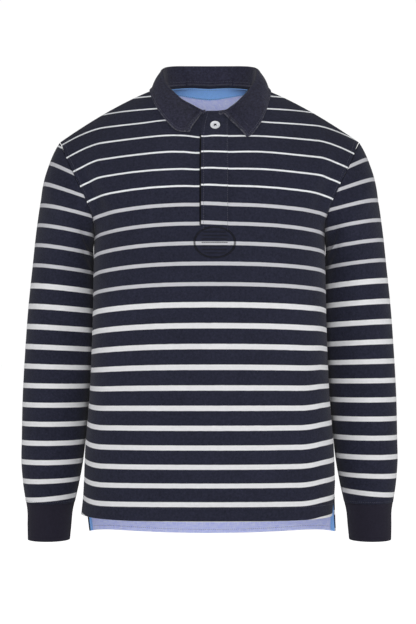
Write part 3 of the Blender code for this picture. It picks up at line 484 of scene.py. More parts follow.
def ring_points(rings, around):
    """Ellipses of a ring table, each read at every place around."""
    turn = 2 * math.pi * around
    found = []
    for _, _, x, y, z, half_out, half_deep, tilt in rings:
        slope = math.radians(tilt)
        out = half_out * np.cos(turn)
        deep = half_deep * np.sin(turn)
        point = (x + out * math.cos(slope), y - deep, z + out * math.sin(slope))
        found.append(np.stack(point, axis=-1))
    return np.array(found)


def sleeve_form(around, along):
    """The wearer's left sleeve before its folds: one row of points around for each place along."""
    rings = np.concatenate((armhole(around % 1.0)[None], ring_points(SLEEVE_RINGS, around)))
    stations = [0.0] + [ring[1] for ring in SLEEVE_RINGS]
    off_top = np.minimum(around % 1.0, 1 - around % 1.0) / CAP_WIDTH
    share = np.clip(np.asarray(along) / CAP_REACH, 0.0, 1.0)
    swell = CAP_PEAK * CAP_SWELL * (share * (1 - share) ** 2)[:, None] * np.exp(-off_top ** 2)
    return curve_through(stations, rings, along) + swell[..., None] * np.array(CAP_WAY)


def cuff_form(around, along):
    """The wearer's left cuff."""
    return curve_through([ring[1] for ring in CUFF_RINGS], ring_points(CUFF_RINGS, around), along)


def tube_normal(form, around, along):
    """Outward normal of a sleeve or cuff."""
    step = FINE_STEP
    roundabout = form(around + step, along) - form(around - step, along)
    lengthwise = form(around, along + step) - form(around, along - step)
    return unit(np.cross(roundabout, lengthwise))


def sleeve_surface(around, along, lift=0.0):
    """Outer points of the wearer's left sleeve, folds included."""
    ends = np.clip(along / CALM_ALONG, 0.0, 1.0) * np.clip((1 - along) / CALM_ALONG, 0.0, 1.0)
    folds = tuple((name, x, z, math.degrees(math.atan2(slant, length)), length, width, depth)
                  for name, x, z, slant, length, width, depth in SLEEVE_FOLDS)
    sink = fold_depth(folds, around[None, :], along[:, None]) * ends[:, None]
    normal = tube_normal(sleeve_form, around, along)
    return sleeve_form(around, along) + normal * (lift - sink)[..., None]


print("surfaces ready: chest half width", round(float(panel_form("front", 1.0, 0.5)[0]), 4), "m")

# %% [markdown]
# Where the stripes run
# The stripes are knitted in, so they belong to the cloth and not to the room. Each piece gets a UV
# map in metres of cloth: u runs along the rows of knitting, and v counts up from the hem, 32.2 mm a
# stripe. The tables hold the height of some stripes on the worn shirt and how far each droops
# towards the sides, or how steeply it lies on the sleeve, and the rest is read between them.

# %% Stripe heights on the worn shirt
STRIPE_PITCH = 0.0322
DROOP_AT = 0.176
DROOP_POWER = 2.6
ARMHOLE_DROOP = 1.05
RISE_FROM = {"right": 0.172, "left": 0.141}
RISE_TO = {"right": 0.2005, "left": 0.1955}
RISE_POWER = 2.0
RISE_LIMIT = 1.4

# Columns: stripe counted up from the front hem, height at mid-body, droop right, droop left,
# rise at the right side, rise at the left side.
BODY_STRIPES = (
    (-3, -0.7986, 0.0022, 0.0022, 0.0078, 0.0092),
    (0, -0.7051, 0.0027, 0.0022, 0.0078, 0.0092),
    (1, -0.6746, 0.0027, 0.0022, 0.0080, 0.0092),
    (3, -0.6159, 0.0016, 0.0010, 0.0088, 0.0090),
    (6, -0.5234, 0.0019, 0.0014, 0.0082, 0.0080),
    (9, -0.4268, 0.0058, 0.0030, 0.0030, 0.0025),
    (12, -0.3291, 0.0086, 0.0052, 0.0000, 0.0000),
    (15, -0.2343, 0.0112, 0.0064, 0.0000, 0.0000),
    (16, -0.2042, 0.0118, 0.0076, 0.0000, 0.0000),
    (17, -0.1743, 0.0125, 0.0087, 0.0000, 0.0000),
    (18, -0.1466, 0.0106, 0.0064, 0.0000, 0.0000),
    (19, -0.1190, 0.0087, 0.0040, 0.0000, 0.0000),
    (20, -0.0913, 0.0070, 0.0025, 0.0000, 0.0000),
    (21, -0.0652, 0.0052, 0.0010, 0.0000, 0.0000),
    (23, -0.0150, 0.0030, 0.0000, 0.0000, 0.0000),
    (26, 0.0600, 0.0000, 0.0000, 0.0000, 0.0000),
)

# Small bends of the stripes where the cloth bulges: x, z, reach across, reach up, rise.
STRIPE_BENDS = (
    ("below right leaf", -0.068, -0.064, 0.032, 0.016, 0.0034),
    ("below left leaf", 0.050, -0.064, 0.026, 0.013, 0.0040),
    ("droop at the opening", -0.020, -0.125, 0.014, 0.070, -0.0016),
    ("beside the right leaf", -0.068, -0.100, 0.042, 0.028, 0.0026),
    ("beside the left leaf", 0.080, -0.112, 0.045, 0.036, 0.0022),
    ("top of the band", -0.008, -0.087, 0.012, 0.012, -0.0024),
)
SLEEVE_SLOPE_AT = 0.2441
LEFT_SLEEVE_LIFT = 0.0085

# Columns: stripe counted up from the cuff, height, slope towards the shoulder.
SLEEVE_STRIPES = (
    (-2, -0.7630, -0.07),
    (0, -0.7060, -0.07),
    (1, -0.6734, -0.09),
    (2, -0.6456, -0.035),
    (4, -0.5841, -0.01),
    (7, -0.4910, 0.01),
    (9, -0.4284, 0.045),
    (11, -0.3631, 0.075),
    (13, -0.2972, 0.13),
    (15, -0.2334, 0.20),
    (16, -0.2021, 0.25),
    (17, -0.1695, 0.36),
    (18, -0.1342, 0.52),
    (19, -0.0990, 0.62),
    (21, -0.0330, 0.70),
)


def stripe_table(table):
    """A stripe table read finely: stripe numbers and their heights and other columns."""
    stations = [row[0] for row in table]
    numbers = np.linspace(stations[0], stations[-1], 900)
    return numbers, curve_through(stations, [row[1:] for row in table], numbers)


def body_cloth_height(x, z):
    """Height of a body point in the cloth, in metres above the front hem's stripe."""
    numbers, read = stripe_table(BODY_STRIPES)
    spread = (np.abs(x) / DROOP_AT) ** DROOP_POWER
    past = ARMHOLE_DROOP * np.clip(np.abs(x) - DROOP_AT, 0.0, None) ** 1.5
    for _, x_middle, z_middle, reach_across, reach_up, rise in STRIPE_BENDS:
        off = ((x - x_middle) / reach_across) ** 2 + ((z - z_middle) / reach_up) ** 2
        z = z - rise * np.exp(-off)
    rising = {}
    for side in ("right", "left"):
        share = (np.abs(x) - RISE_FROM[side]) / (RISE_TO[side] - RISE_FROM[side])
        rising[side] = np.clip(share, 0.0, RISE_LIMIT) ** RISE_POWER
    found = np.interp(z, read[:, 0], numbers)
    for _ in range(12):
        droop_right, droop_left, rise_right, rise_left = [np.interp(found, numbers, read[:, column])
                                                          for column in range(1, 5)]
        droop = np.where(x < 0, droop_right, droop_left)
        rise = np.where(x < 0, rise_right * rising["right"], rise_left * rising["left"])
        found = np.interp(z + droop * spread + past - rise, read[:, 0], numbers)
    return found * STRIPE_PITCH


def sleeve_cloth_height(x, z, mirror):
    """Height of a sleeve point in the cloth, in metres above the cuff."""
    numbers, read = stripe_table(SLEEVE_STRIPES)
    level = z - (LEFT_SLEEVE_LIFT if mirror > 0 else 0.0)
    found = np.interp(level, read[:, 0], numbers)
    for _ in range(30):
        slope = np.interp(found, numbers, read[:, 1])
        found = np.interp(level - slope * (np.abs(x) - SLEEVE_SLOPE_AT), read[:, 0], numbers)
    return found * STRIPE_PITCH


def lengths_along(grid, axis):
    """Distance along each row or column of a grid of points from its first point."""
    steps = np.linalg.norm(np.diff(grid, axis=axis), axis=-1)
    start = np.zeros_like(np.take(steps, [0], axis=axis))
    return np.cumsum(np.concatenate((start, steps), axis=axis), axis=axis)


print("cloth height at the front hem and the chest:",
      body_cloth_height(np.zeros(2), np.array((-0.702, -0.17))))

# %% [markdown]
# Walls of cloth
# Cloth has two faces and an edge. Each piece is a closed wall between an outer and an inner grid
# of points, 1 to 2 mm apart, and its edges are rounded a little with a Bevel modifier, because a
# razor-sharp rim would look like sheet metal.

# %% Make a wall from two grids
EDGE_ROUND = 0.0005
made_pieces = {}


def select_only(obj):
    """Make one object the only selected one, and active."""
    for other in list(bpy.context.selected_objects):
        other.select_set(False)
    obj.select_set(True)
    bpy.context.view_layer.objects.active = obj


def finish_piece(obj, material, nodes=()):
    """Give a piece its material, its body and the CAD nodes that it stands for."""
    obj.data.materials.clear()
    obj.data.materials.append(material)
    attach(obj, "root")
    if nodes:
        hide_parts(*nodes)
    obj.select_set(False)
    made_pieces[obj.name] = obj


def round_edges(obj, width):
    """Round a piece's sharp edges and shade the rest smooth."""
    select_only(obj)
    soften = obj.modifiers.new("soft edge", "BEVEL")
    soften.width = width
    soften.segments = 2
    soften.limit_method = "ANGLE"
    soften.angle_limit = math.radians(55)
    bpy.ops.object.modifier_apply(modifier=soften.name)
    obj.data.shade_smooth()
    obj.data.set_sharp_from_angle(angle=math.radians(50))
    obj.select_set(False)


def wall(name, outer, inner, cloth, ring=False, rounding=EDGE_ROUND):
    """A closed wall between two grids, with a UV map in metres of cloth. A ring joins up."""
    rows, columns = outer.shape[:2]
    count = rows * columns

    def corners(at_rows, at_columns, side):
        return at_rows * columns + at_columns % columns + side * count

    first = np.arange(columns if ring else columns - 1)
    row, column = np.meshgrid(np.arange(rows - 1), first, indexing="ij")
    row = row.ravel()
    column = column.ravel()
    zero = 0 * first
    top = zero + rows - 1
    patches = [
        ((row, column, 0), (row, column + 1, 0), (row + 1, column + 1, 0), (row + 1, column, 0)),
        ((row + 1, column, 1), (row + 1, column + 1, 1), (row, column + 1, 1), (row, column, 1)),
        ((zero, first + 1, 0), (zero, first, 0), (zero, first, 1), (zero, first + 1, 1)),
        ((top, first, 0), (top, first + 1, 0), (top, first + 1, 1), (top, first, 1)),
    ]
    if not ring:
        side = np.arange(rows - 1)
        start = 0 * side
        last = start + columns - 1
        patches.append(((side, start, 0), (side + 1, start, 0), (side + 1, start, 1), (side, start, 1)))
        patches.append(((side + 1, last, 0), (side, last, 0), (side, last, 1), (side + 1, last, 1)))
    faces = np.concatenate([np.stack([corners(*corner) for corner in patch], axis=-1)
                            for patch in patches])
    places = np.concatenate([np.stack([cloth[corner[0], corner[1]] for corner in patch], axis=1)
                             for patch in patches])
    mesh = bpy.data.meshes.new(name)
    vertices = np.concatenate((outer.reshape(-1, 3), inner.reshape(-1, 3)))
    mesh.from_pydata(vertices.tolist(), [], faces.tolist())
    layer = mesh.uv_layers.new(name="cloth")
    layer.data.foreach_set("uv", places.reshape(-1, 2).astype(np.float32).ravel())
    obj = add_object(name, mesh)
    round_edges(obj, rounding)
    print(f"{name}: {len(obj.data.polygons)} faces")
    return obj


print("wall maker ready, edges rounded by", EDGE_ROUND, "m")

# %% [markdown]
# Finishes
# Every finish is made of nodes. What more than one cloth needs is a node group with named inputs:
# the knitted stripes, the fine relief of jersey, slanted or zigzag lines for twill and herringbone
# tape, the uneven dye of worn cotton, and the paler wear along an edge. The stripes, the relief and
# the lines read the cloth's own UV map in metres, so that the knitting stays on the cloth wherever
# the piece goes; the dye and the wear's noise read the piece's own object coordinates.

# %% Small helpers for node trees
MILLIMETRE = 0.001
NUMBER = "NodeSocketFloat"
VECTOR = "NodeSocketVector"
COLOUR = "NodeSocketColor"
SHEEN_ROUGHNESS = 0.5
CLOTH_SPECULAR = 0.15

# Columns: roughness, sheen, slow patches in the dye, fine specks in it.
SURFACES = {
    "navy_jersey_body": (0.88, 0.08, 0.20, 0.90),
    "navy_jersey_sleeve": (0.88, 0.08, 0.20, 0.90),
    "navy_rib_cuff": (0.88, 0.08, 0.12, 0.35),
    "navy_twill_collar": (0.84, 0.12, 0.35, 1.50),
    "blue_herringbone": (0.80, 0.10, 0.05, 0.15),
    "lilac_chambray_cloth": (0.85, 0.08, 0.0, 0.0),
    "navy_thread": (0.60, 0.10, 0.10, 0.30),
    "dark_thread": (0.60, 0.10, 0.10, 0.30),
    "white_plastic": (0.34, 0.0, 0.0, 0.0),
}
STRIPE_DYE = (0.04, 0.10)


def link_or_set(tree, socket, value):
    """Feed a socket from another socket, or give it a fixed value."""
    if isinstance(value, bpy.types.NodeSocket):
        tree.links.new(value, socket)
    else:
        socket.default_value = value


def calc(tree, operation, *values):
    """A Math node on sockets or numbers."""
    node = tree.nodes.new("ShaderNodeMath")
    node.operation = operation
    for index, value in enumerate(values):
        link_or_set(tree, node.inputs[index], value)
    return node.outputs[0]


def times(tree, first, *others):
    """The product of sockets or numbers."""
    for other in others:
        first = calc(tree, "MULTIPLY", first, other)
    return first


def one_minus(tree, value):
    """What is left of 1."""
    return calc(tree, "SUBTRACT", 1.0, value)


def mix_colour(tree, factor, first, second):
    """A Mix node for two colours."""
    node = tree.nodes.new("ShaderNodeMix")
    node.data_type = "RGBA"
    link_or_set(tree, node.inputs[0], factor)
    link_or_set(tree, node.inputs[6], first)
    link_or_set(tree, node.inputs[7], second)
    return node.outputs[2]


def soft_step(tree, value, start, end):
    """0 at start, 1 at end, smooth between."""
    node = tree.nodes.new("ShaderNodeMapRange")
    node.interpolation_type = "SMOOTHSTEP"
    link_or_set(tree, node.inputs["Value"], value)
    link_or_set(tree, node.inputs["From Min"], start)
    link_or_set(tree, node.inputs["From Max"], end)
    return node.outputs["Result"]


def noise(tree, vector, scale, detail=3.0, roughness=0.55):
    """A Noise texture's value."""
    node = tree.nodes.new("ShaderNodeTexNoise")
    tree.links.new(vector, node.inputs["Vector"])
    node.inputs["Scale"].default_value = scale
    node.inputs["Detail"].default_value = detail
    node.inputs["Roughness"].default_value = roughness
    return node.outputs["Fac"]


def new_group(name, inputs, outputs):
    """An empty node group with float inputs and named outputs."""
    tree = bpy.data.node_groups.new(name, "ShaderNodeTree")
    for title, kind, value in inputs:
        socket = tree.interface.new_socket(title, in_out="INPUT", socket_type=kind)
        if value is not None:
            socket.default_value = value
    for title, kind in outputs:
        tree.interface.new_socket(title, in_out="OUTPUT", socket_type=kind)
    enter = tree.nodes.new("NodeGroupInput")
    leave = tree.nodes.new("NodeGroupOutput")
    return tree, enter, leave


def use_group(tree, group, **values):
    """Place a node group and feed its inputs; underscores in a keyword stand for spaces."""
    node = tree.nodes.new("ShaderNodeGroup")
    node.node_tree = group
    for title, value in values.items():
        link_or_set(tree, node.inputs[title.replace("_", " ")], value)
    return node


def new_finish(name):
    """A material with its Principled shader, the cloth's UV map and its object coordinates."""
    material = bpy.data.materials.new(name)
    material.use_nodes = True
    tree = material.node_tree
    shader = tree.nodes["Principled BSDF"]
    roughness, sheen, _, _ = SURFACES[name]
    shader.inputs["Roughness"].default_value = roughness
    shader.inputs["Sheen Weight"].default_value = sheen
    shader.inputs["Sheen Roughness"].default_value = SHEEN_ROUGHNESS
    shader.inputs["Specular IOR Level"].default_value = CLOTH_SPECULAR
    place = tree.nodes.new("ShaderNodeUVMap")
    place.uv_map = "cloth"
    split = tree.nodes.new("ShaderNodeSeparateXYZ")
    tree.links.new(place.outputs["UV"], split.inputs[0])
    room = tree.nodes.new("ShaderNodeTexCoord")
    return material, tree, shader, split.outputs["X"], split.outputs["Y"], room.outputs["Object"]


def bump(tree, shader, height, distance, strength):
    """Relief from a height between 0 and 1."""
    node = tree.nodes.new("ShaderNodeBump")
    node.inputs["Distance"].default_value = distance
    node.inputs["Strength"].default_value = strength
    tree.links.new(height, node.inputs["Height"])
    tree.links.new(node.outputs["Normal"], shader.inputs["Normal"])


print("node helpers ready")

# %% Node group: knitted stripes
THIN_HALF = 1.6 * MILLIMETRE
MIDDLE_HALF = 3.0 * MILLIMETRE
WIDE_HALF = 4.2 * MILLIMETRE
STRIPE_SOFTNESS = 0.5 * MILLIMETRE
STRIPE_WOBBLE = 0.6 * MILLIMETRE
WOBBLE_SCALE = 90.0
THIN_WHITE = (0.90, 0.92, 0.95, 1.0)
MIDDLE_GREY = (0.63, 0.63, 0.67, 1.0)
WIDE_WHITE = (0.87, 0.87, 0.89, 1.0)


def make_stripes():
    """White and grey stripes by height in the cloth; three kinds, one above the other."""
    tree, enter, leave = new_group(
        "knitted stripes",
        (("Height", NUMBER, 0.0), ("Wide Below", NUMBER, 11.5), ("Thin Above", NUMBER, 16.5)),
        (("Stripe", NUMBER), ("Colour", COLOUR)))
    number = calc(tree, "DIVIDE", enter.outputs["Height"], STRIPE_PITCH)
    nearest = calc(tree, "ROUND", number)
    off = calc(tree, "ABSOLUTE", calc(tree, "SUBTRACT", number, nearest))
    off = times(tree, off, STRIPE_PITCH)
    wide = calc(tree, "LESS_THAN", nearest, enter.outputs["Wide Below"])
    thin = calc(tree, "GREATER_THAN", nearest, enter.outputs["Thin Above"])
    half = calc(tree, "MULTIPLY_ADD", wide, WIDE_HALF - MIDDLE_HALF, MIDDLE_HALF)
    half = calc(tree, "MULTIPLY_ADD", thin, THIN_HALF - MIDDLE_HALF, half)
    inner = calc(tree, "SUBTRACT", half, STRIPE_SOFTNESS)
    outer = calc(tree, "ADD", half, STRIPE_SOFTNESS)
    outside = soft_step(tree, off, inner, outer)
    tree.links.new(one_minus(tree, outside), leave.inputs["Stripe"])
    colour = mix_colour(tree, wide, MIDDLE_GREY, WIDE_WHITE)
    colour = mix_colour(tree, thin, colour, THIN_WHITE)
    tree.links.new(colour, leave.inputs["Colour"])
    return tree


stripes_group = make_stripes()
print("stripes every", STRIPE_PITCH, "m")

# %% Node group: jersey relief
WALE = 1.3 * MILLIMETRE
COURSE = 1.0 * MILLIMETRE


def make_jersey_relief():
    """Columns of small V-shaped loops, as on the face of jersey."""
    tree, enter, leave = new_group(
        "jersey relief",
        (("Across", NUMBER, 0.0), ("Height", NUMBER, 0.0)),
        (("Relief", NUMBER),))
    column = calc(tree, "PINGPONG", calc(tree, "DIVIDE", enter.outputs["Across"], WALE / 2), 1.0)
    lean = calc(tree, "MULTIPLY", column, 0.8 * COURSE)
    course = calc(tree, "DIVIDE", calc(tree, "ADD", enter.outputs["Height"], lean), COURSE / 2)
    loop = calc(tree, "PINGPONG", course, 1.0)
    relief = calc(tree, "MULTIPLY", calc(tree, "MULTIPLY_ADD", loop, 0.5, 0.5),
                  calc(tree, "MULTIPLY_ADD", column, 0.6, 0.4))
    tree.links.new(relief, leave.inputs["Relief"])
    return tree


jersey_group = make_jersey_relief()
print("knitting", WALE, "by", COURSE, "m a loop")

# %% Node group: slanted or zigzag lines


def make_slanted_lines():
    """Diagonal lines for twill. With a band width they turn back at each band: herringbone."""
    tree, enter, leave = new_group(
        "slanted lines",
        (("Across", NUMBER, 0.0), ("Height", NUMBER, 0.0),
         ("Spacing", NUMBER, 0.0012), ("Band", NUMBER, 1000.0)),
        (("Lines", NUMBER),))
    folded = calc(tree, "PINGPONG", enter.outputs["Across"], enter.outputs["Band"])
    slant = calc(tree, "ADD", folded, enter.outputs["Height"])
    half = calc(tree, "DIVIDE", enter.outputs["Spacing"], 2.0)
    lines = calc(tree, "PINGPONG", calc(tree, "DIVIDE", slant, half), 1.0)
    tree.links.new(soft_step(tree, lines, 0.15, 0.85), leave.inputs["Lines"])
    return tree


lines_group = make_slanted_lines()
print("slanted lines ready")

# %% Node group: uneven dye


def make_uneven_dye():
    """Slow patches and fine specks that lighten and darken dyed cotton, around 1."""
    tree, enter, leave = new_group(
        "uneven dye",
        (("Place", VECTOR, None), ("Patches", NUMBER, 0.12), ("Specks", NUMBER, 0.30)),
        (("Factor", NUMBER),))
    place = enter.outputs["Place"]
    patches = calc(tree, "SUBTRACT", noise(tree, place, 14.0, 4.0), 0.5)
    specks = calc(tree, "SUBTRACT", noise(tree, place, 260.0, 4.0, 0.75), 0.5)
    factor = 1.0
    for change, title in ((patches, "Patches"), (specks, "Specks")):
        factor = calc(tree, "MULTIPLY_ADD", change, times(tree, enter.outputs[title], 2.0), factor)
    tree.links.new(factor, leave.inputs["Factor"])
    return tree


dye_group = make_uneven_dye()
print("uneven dye ready")

# %% Node group: wear along an edge


def make_edge_wear():
    """Rubbed, paler cloth near an edge: 1 on the edge, broken up, 0 further in."""
    tree, enter, leave = new_group(
        "edge wear",
        (("From Edge", NUMBER, 1.0), ("Reach", NUMBER, 0.002), ("Place", VECTOR, None)),
        (("Wear", NUMBER),))
    far = soft_step(tree, enter.outputs["From Edge"], 0.0, enter.outputs["Reach"])
    broken = soft_step(tree, noise(tree, enter.outputs["Place"], 240.0, 3.0, 0.7), 0.38, 0.62)
    tree.links.new(times(tree, one_minus(tree, far), broken), leave.inputs["Wear"])
    return tree


wear_group = make_edge_wear()
print("edge wear ready")

# %% [markdown]
# The shirt's own finishes
# Striped jersey for the body and another for the sleeves, whose stripes change width lower down;
# plain rib; brushed twill with rubbed edges; blue herringbone tape; lilac chambray, woven from
# white and blue threads; sewing thread; and satin white plastic for the button. The body's jersey
# also carries painted shade along the placket's slit, oval and box rows, and at the throat.

# %% Jersey
NAVY = (0.0200, 0.0215, 0.0400, 1.0)
# Painted shade of the stitched oval round the band's foot and of the box rows inside it; both also sink in as
# relief.
OVAL_MIDDLE = (0.0082, -0.2637)
OVAL_HALF = (0.0317, 0.0239)
OVAL_LINE = (0.030, 0.085)
OVAL_SHADE = 0.66
BOX_ROW_TOP = -0.2475
BOX_ROW_PITCH = 0.0055
BOX_ROW_COUNT = 7
BOX_ROW_LINE = (0.0004, 0.0015)
BOX_ACROSS = (-0.0125, 0.0285)
BOX_SHARE = 0.86
BOX_SHADE = 0.48
# Painted shade of the slit beside the band's edge: a dark line in the colour.
SLIT_ACROSS = (-0.0163, -0.0126)
SLIT_UP = (-0.2385, -0.086)
SLIT_SHADE = 0.92
# Painted shade under the collar leaves: no stripes on the throat here.
SHADED_THROAT_ACROSS = (-0.032, 0.042)
SHADED_THROAT_FROM = -0.085
NECK_ACROSS_X = (-0.080, 0.080)
NECK_FROM = -0.014
MARK_SOFTNESS = 0.001

# Columns: depth in metres, strength.
RELIEFS = {
    "jersey": (0.25 * MILLIMETRE, 0.55),
    "rib": (0.20 * MILLIMETRE, 0.50),
    "twill": (0.40 * MILLIMETRE, 0.60),
    "tape": (0.20 * MILLIMETRE, 0.60),
    "chambray": (0.15 * MILLIMETRE, 0.50),
    "plastic": (0.05 * MILLIMETRE, 0.30),
}


def dyed(tree, colour, factor):
    """A colour made lighter or darker by a factor that changes over the cloth."""
    node = tree.nodes.new("ShaderNodeMix")
    node.data_type = "RGBA"
    node.blend_type = "MULTIPLY"
    node.inputs[0].default_value = 1.0
    link_or_set(tree, node.inputs[6], colour)
    grey = tree.nodes.new("ShaderNodeCombineColor")
    for channel in range(3):
        tree.links.new(factor, grey.inputs[channel])
    tree.links.new(grey.outputs[0], node.inputs[7])
    return node.outputs[2]


def uneven(tree, room, patches, specks):
    """The factor of an uneven dye."""
    return use_group(tree, dye_group, Place=room, Patches=patches, Specks=specks).outputs["Factor"]


def within(tree, value, limits, softness=MARK_SOFTNESS):
    """1 between two values and 0 outside them."""
    low, high = limits
    above = soft_step(tree, value, low, low + softness)
    below = soft_step(tree, value, high - softness, high)
    return times(tree, above, one_minus(tree, below))


def front_marks(tree, room):
    """Masks: stripes left out at the throat, as painted shade under the collar leaves, and at the neck;
    painted shade that darkens the colour along the slit, the oval and the box rows, which also sink
    in as relief.
    """
    split = tree.nodes.new("ShaderNodeSeparateXYZ")
    tree.links.new(room, split.inputs[0])
    x, y, z = split.outputs
    in_front = calc(tree, "LESS_THAN", y, 0.0)
    # The throat between the collar leaves gets no stripes: painted shade under the leaves.
    throat = times(tree, within(tree, x, SHADED_THROAT_ACROSS), calc(tree, "GREATER_THAN", z, SHADED_THROAT_FROM), in_front)
    at_neck = times(tree, within(tree, x, NECK_ACROSS_X), calc(tree, "GREATER_THAN", z, NECK_FROM))
    plain = calc(tree, "MAXIMUM", throat, at_neck)
    # Painted shade: a dark line down the slit beside the band.
    slit = times(tree, within(tree, x, SLIT_ACROSS, 0.9 * MARK_SOFTNESS), within(tree, z, SLIT_UP, 0.003))
    squares = []
    for place, middle, half in zip((x, z), OVAL_MIDDLE, OVAL_HALF):
        off = calc(tree, "DIVIDE", calc(tree, "SUBTRACT", place, middle), half)
        squares.append(calc(tree, "POWER", calc(tree, "ABSOLUTE", off), 2.0))
    radius = calc(tree, "SQRT", calc(tree, "ADD", *squares))
    off_oval = calc(tree, "ABSOLUTE", calc(tree, "SUBTRACT", radius, 1.0))
    oval = one_minus(tree, soft_step(tree, off_oval, *OVAL_LINE))
    row = calc(tree, "PINGPONG", calc(tree, "SUBTRACT", z, BOX_ROW_TOP), 0.5 * BOX_ROW_PITCH)
    rows = one_minus(tree, soft_step(tree, row, *BOX_ROW_LINE))
    box = times(tree, rows, calc(tree, "LESS_THAN", radius, BOX_SHARE), within(tree, x, BOX_ACROSS))
    # Painted shade of the slit, the oval and the box rows, darkening the colour and sinking the relief.
    shade = times(tree, slit, SLIT_SHADE)
    for mark, strength in ((oval, OVAL_SHADE), (box, BOX_SHADE)):
        shade = calc(tree, "MAXIMUM", shade, times(tree, mark, strength))
    return plain, times(tree, shade, in_front)


def jersey_finish(name, wide_below, thin_above):
    """Heavy navy jersey with knitted-in stripes, and painted shade at the placket's slit, oval and box rows
    and at the throat.
    """
    material, tree, shader, across, height, room = new_finish(name)
    wobble = noise(tree, room, WOBBLE_SCALE, 2.0)
    wobble = calc(tree, "MULTIPLY_ADD", wobble, STRIPE_WOBBLE, -0.5 * STRIPE_WOBBLE)
    stripes = use_group(tree, stripes_group, Height=calc(tree, "ADD", height, wobble),
                        Wide_Below=wide_below, Thin_Above=thin_above)
    ground = dyed(tree, NAVY, uneven(tree, room, *SURFACES[name][2:]))
    white = dyed(tree, stripes.outputs["Colour"], uneven(tree, room, *STRIPE_DYE))
    plain, shade = front_marks(tree, room)
    # Stripes are left out at the throat, as painted shade under the collar leaves, and at the neck.
    striped = times(tree, stripes.outputs["Stripe"], one_minus(tree, plain))
    colour = mix_colour(tree, striped, ground, white)
    # Painted shade: the colour is darkened along the slit, the oval and the box rows.
    tree.links.new(dyed(tree, colour, one_minus(tree, shade)), shader.inputs["Base Color"])
    relief = use_group(tree, jersey_group, Across=across, Height=height)
    relief = calc(tree, "SUBTRACT", relief.outputs["Relief"], shade)
    bump(tree, shader, relief, *RELIEFS["jersey"])
    return material


# Wide stripes lie below the first number of stripes and thin ones above the second.
body_jersey = jersey_finish("navy_jersey_body", 11.5, 16.5)
sleeve_jersey = jersey_finish("navy_jersey_sleeve", 12.5, 18.5)
print("jersey:", body_jersey.name, sleeve_jersey.name)

# %% Rib, twill, tape, chambray, thread and button
RIB_NAVY = (0.0190, 0.0170, 0.0300, 1.0)
TWILL_NAVY = (0.0225, 0.0225, 0.0420, 1.0)
TWILL_RUBBED = (0.105, 0.105, 0.130, 1.0)
TAPE_BLUE = (0.180, 0.400, 0.970, 1.0)
TAPE_PALE = (0.320, 0.580, 0.990, 1.0)
CHAMBRAY_BLUE = (0.450, 0.500, 0.960, 1.0)
CHAMBRAY_WHITE = (0.700, 0.740, 0.990, 1.0)
THREAD_NAVY = (0.085, 0.085, 0.115, 1.0)
# Near black, darker than the navy cloth: on the oval and its rows this is partly painted shade of the
# stitched groove.
THREAD_DARK = (0.012, 0.012, 0.018, 1.0)
BUTTON_WHITE = (0.760, 0.780, 0.810, 1.0)
COLLAR_LENGTH = 0.470
TOPSTITCH_IN = 4.5 * MILLIMETRE
TWILL_SPACING = 1.3 * MILLIMETRE
TWILL_CONTRAST = (0.4, 0.82)
WEAR_REACH = 3.4 * MILLIMETRE
WEAR_STRENGTH = 0.90
GROOVE_HALF = 1.2 * MILLIMETRE
GROOVE_SHARE = 0.6
TWILL_RELIEF = 0.30
TAPE_SPACING = 1.4 * MILLIMETRE
TAPE_BAND = 2.4 * MILLIMETRE
THREAD_LONG = 90.0
THREAD_FINE = 1400.0


def rib_finish():
    """Navy rib: its ribs are in the mesh, so the finish adds only the loops and the dye."""
    name = "navy_rib_cuff"
    material, tree, shader, across, height, room = new_finish(name)
    factor = uneven(tree, room, *SURFACES[name][2:])
    tree.links.new(dyed(tree, RIB_NAVY, factor), shader.inputs["Base Color"])
    relief = use_group(tree, jersey_group, Across=across, Height=height)
    bump(tree, shader, relief.outputs["Relief"], *RELIEFS["rib"])
    return material


def twill_finish():
    """Brushed twill with a groove under its topstitching and rubbed edges."""
    name = "navy_twill_collar"
    material, tree, shader, across, height, room = new_finish(name)
    from_start = calc(tree, "ABSOLUTE", across)
    from_end = calc(tree, "ABSOLUTE", calc(tree, "SUBTRACT", COLLAR_LENGTH, across))
    from_edge = calc(tree, "MINIMUM", calc(tree, "MINIMUM", from_start, from_end), height)
    lines = use_group(tree, lines_group, Across=across, Height=height, Spacing=TWILL_SPACING)
    factor = uneven(tree, room, *SURFACES[name][2:])
    wear = use_group(tree, wear_group, From_Edge=from_edge, Reach=WEAR_REACH, Place=room)
    woven = calc(tree, "MULTIPLY_ADD", lines.outputs["Lines"], *TWILL_CONTRAST)
    ground = dyed(tree, TWILL_NAVY, times(tree, factor, woven))
    worn = times(tree, wear.outputs["Wear"], WEAR_STRENGTH)
    tree.links.new(mix_colour(tree, worn, ground, TWILL_RUBBED), shader.inputs["Base Color"])
    off_stitch = calc(tree, "ABSOLUTE", calc(tree, "SUBTRACT", from_edge, TOPSTITCH_IN))
    groove = times(tree, soft_step(tree, off_stitch, 0.0, GROOVE_HALF), GROOVE_SHARE)
    relief = calc(tree, "MULTIPLY_ADD", lines.outputs["Lines"], TWILL_RELIEF, groove)
    bump(tree, shader, relief, *RELIEFS["twill"])
    return material


def tape_finish():
    """Blue herringbone tape."""
    name = "blue_herringbone"
    material, tree, shader, across, height, room = new_finish(name)
    lines = use_group(tree, lines_group, Across=across, Height=height, Spacing=TAPE_SPACING,
                      Band=TAPE_BAND)
    woven = mix_colour(tree, lines.outputs["Lines"], TAPE_BLUE, TAPE_PALE)
    factor = uneven(tree, room, *SURFACES[name][2:])
    tree.links.new(dyed(tree, woven, factor), shader.inputs["Base Color"])
    bump(tree, shader, lines.outputs["Lines"], *RELIEFS["tape"])
    return material


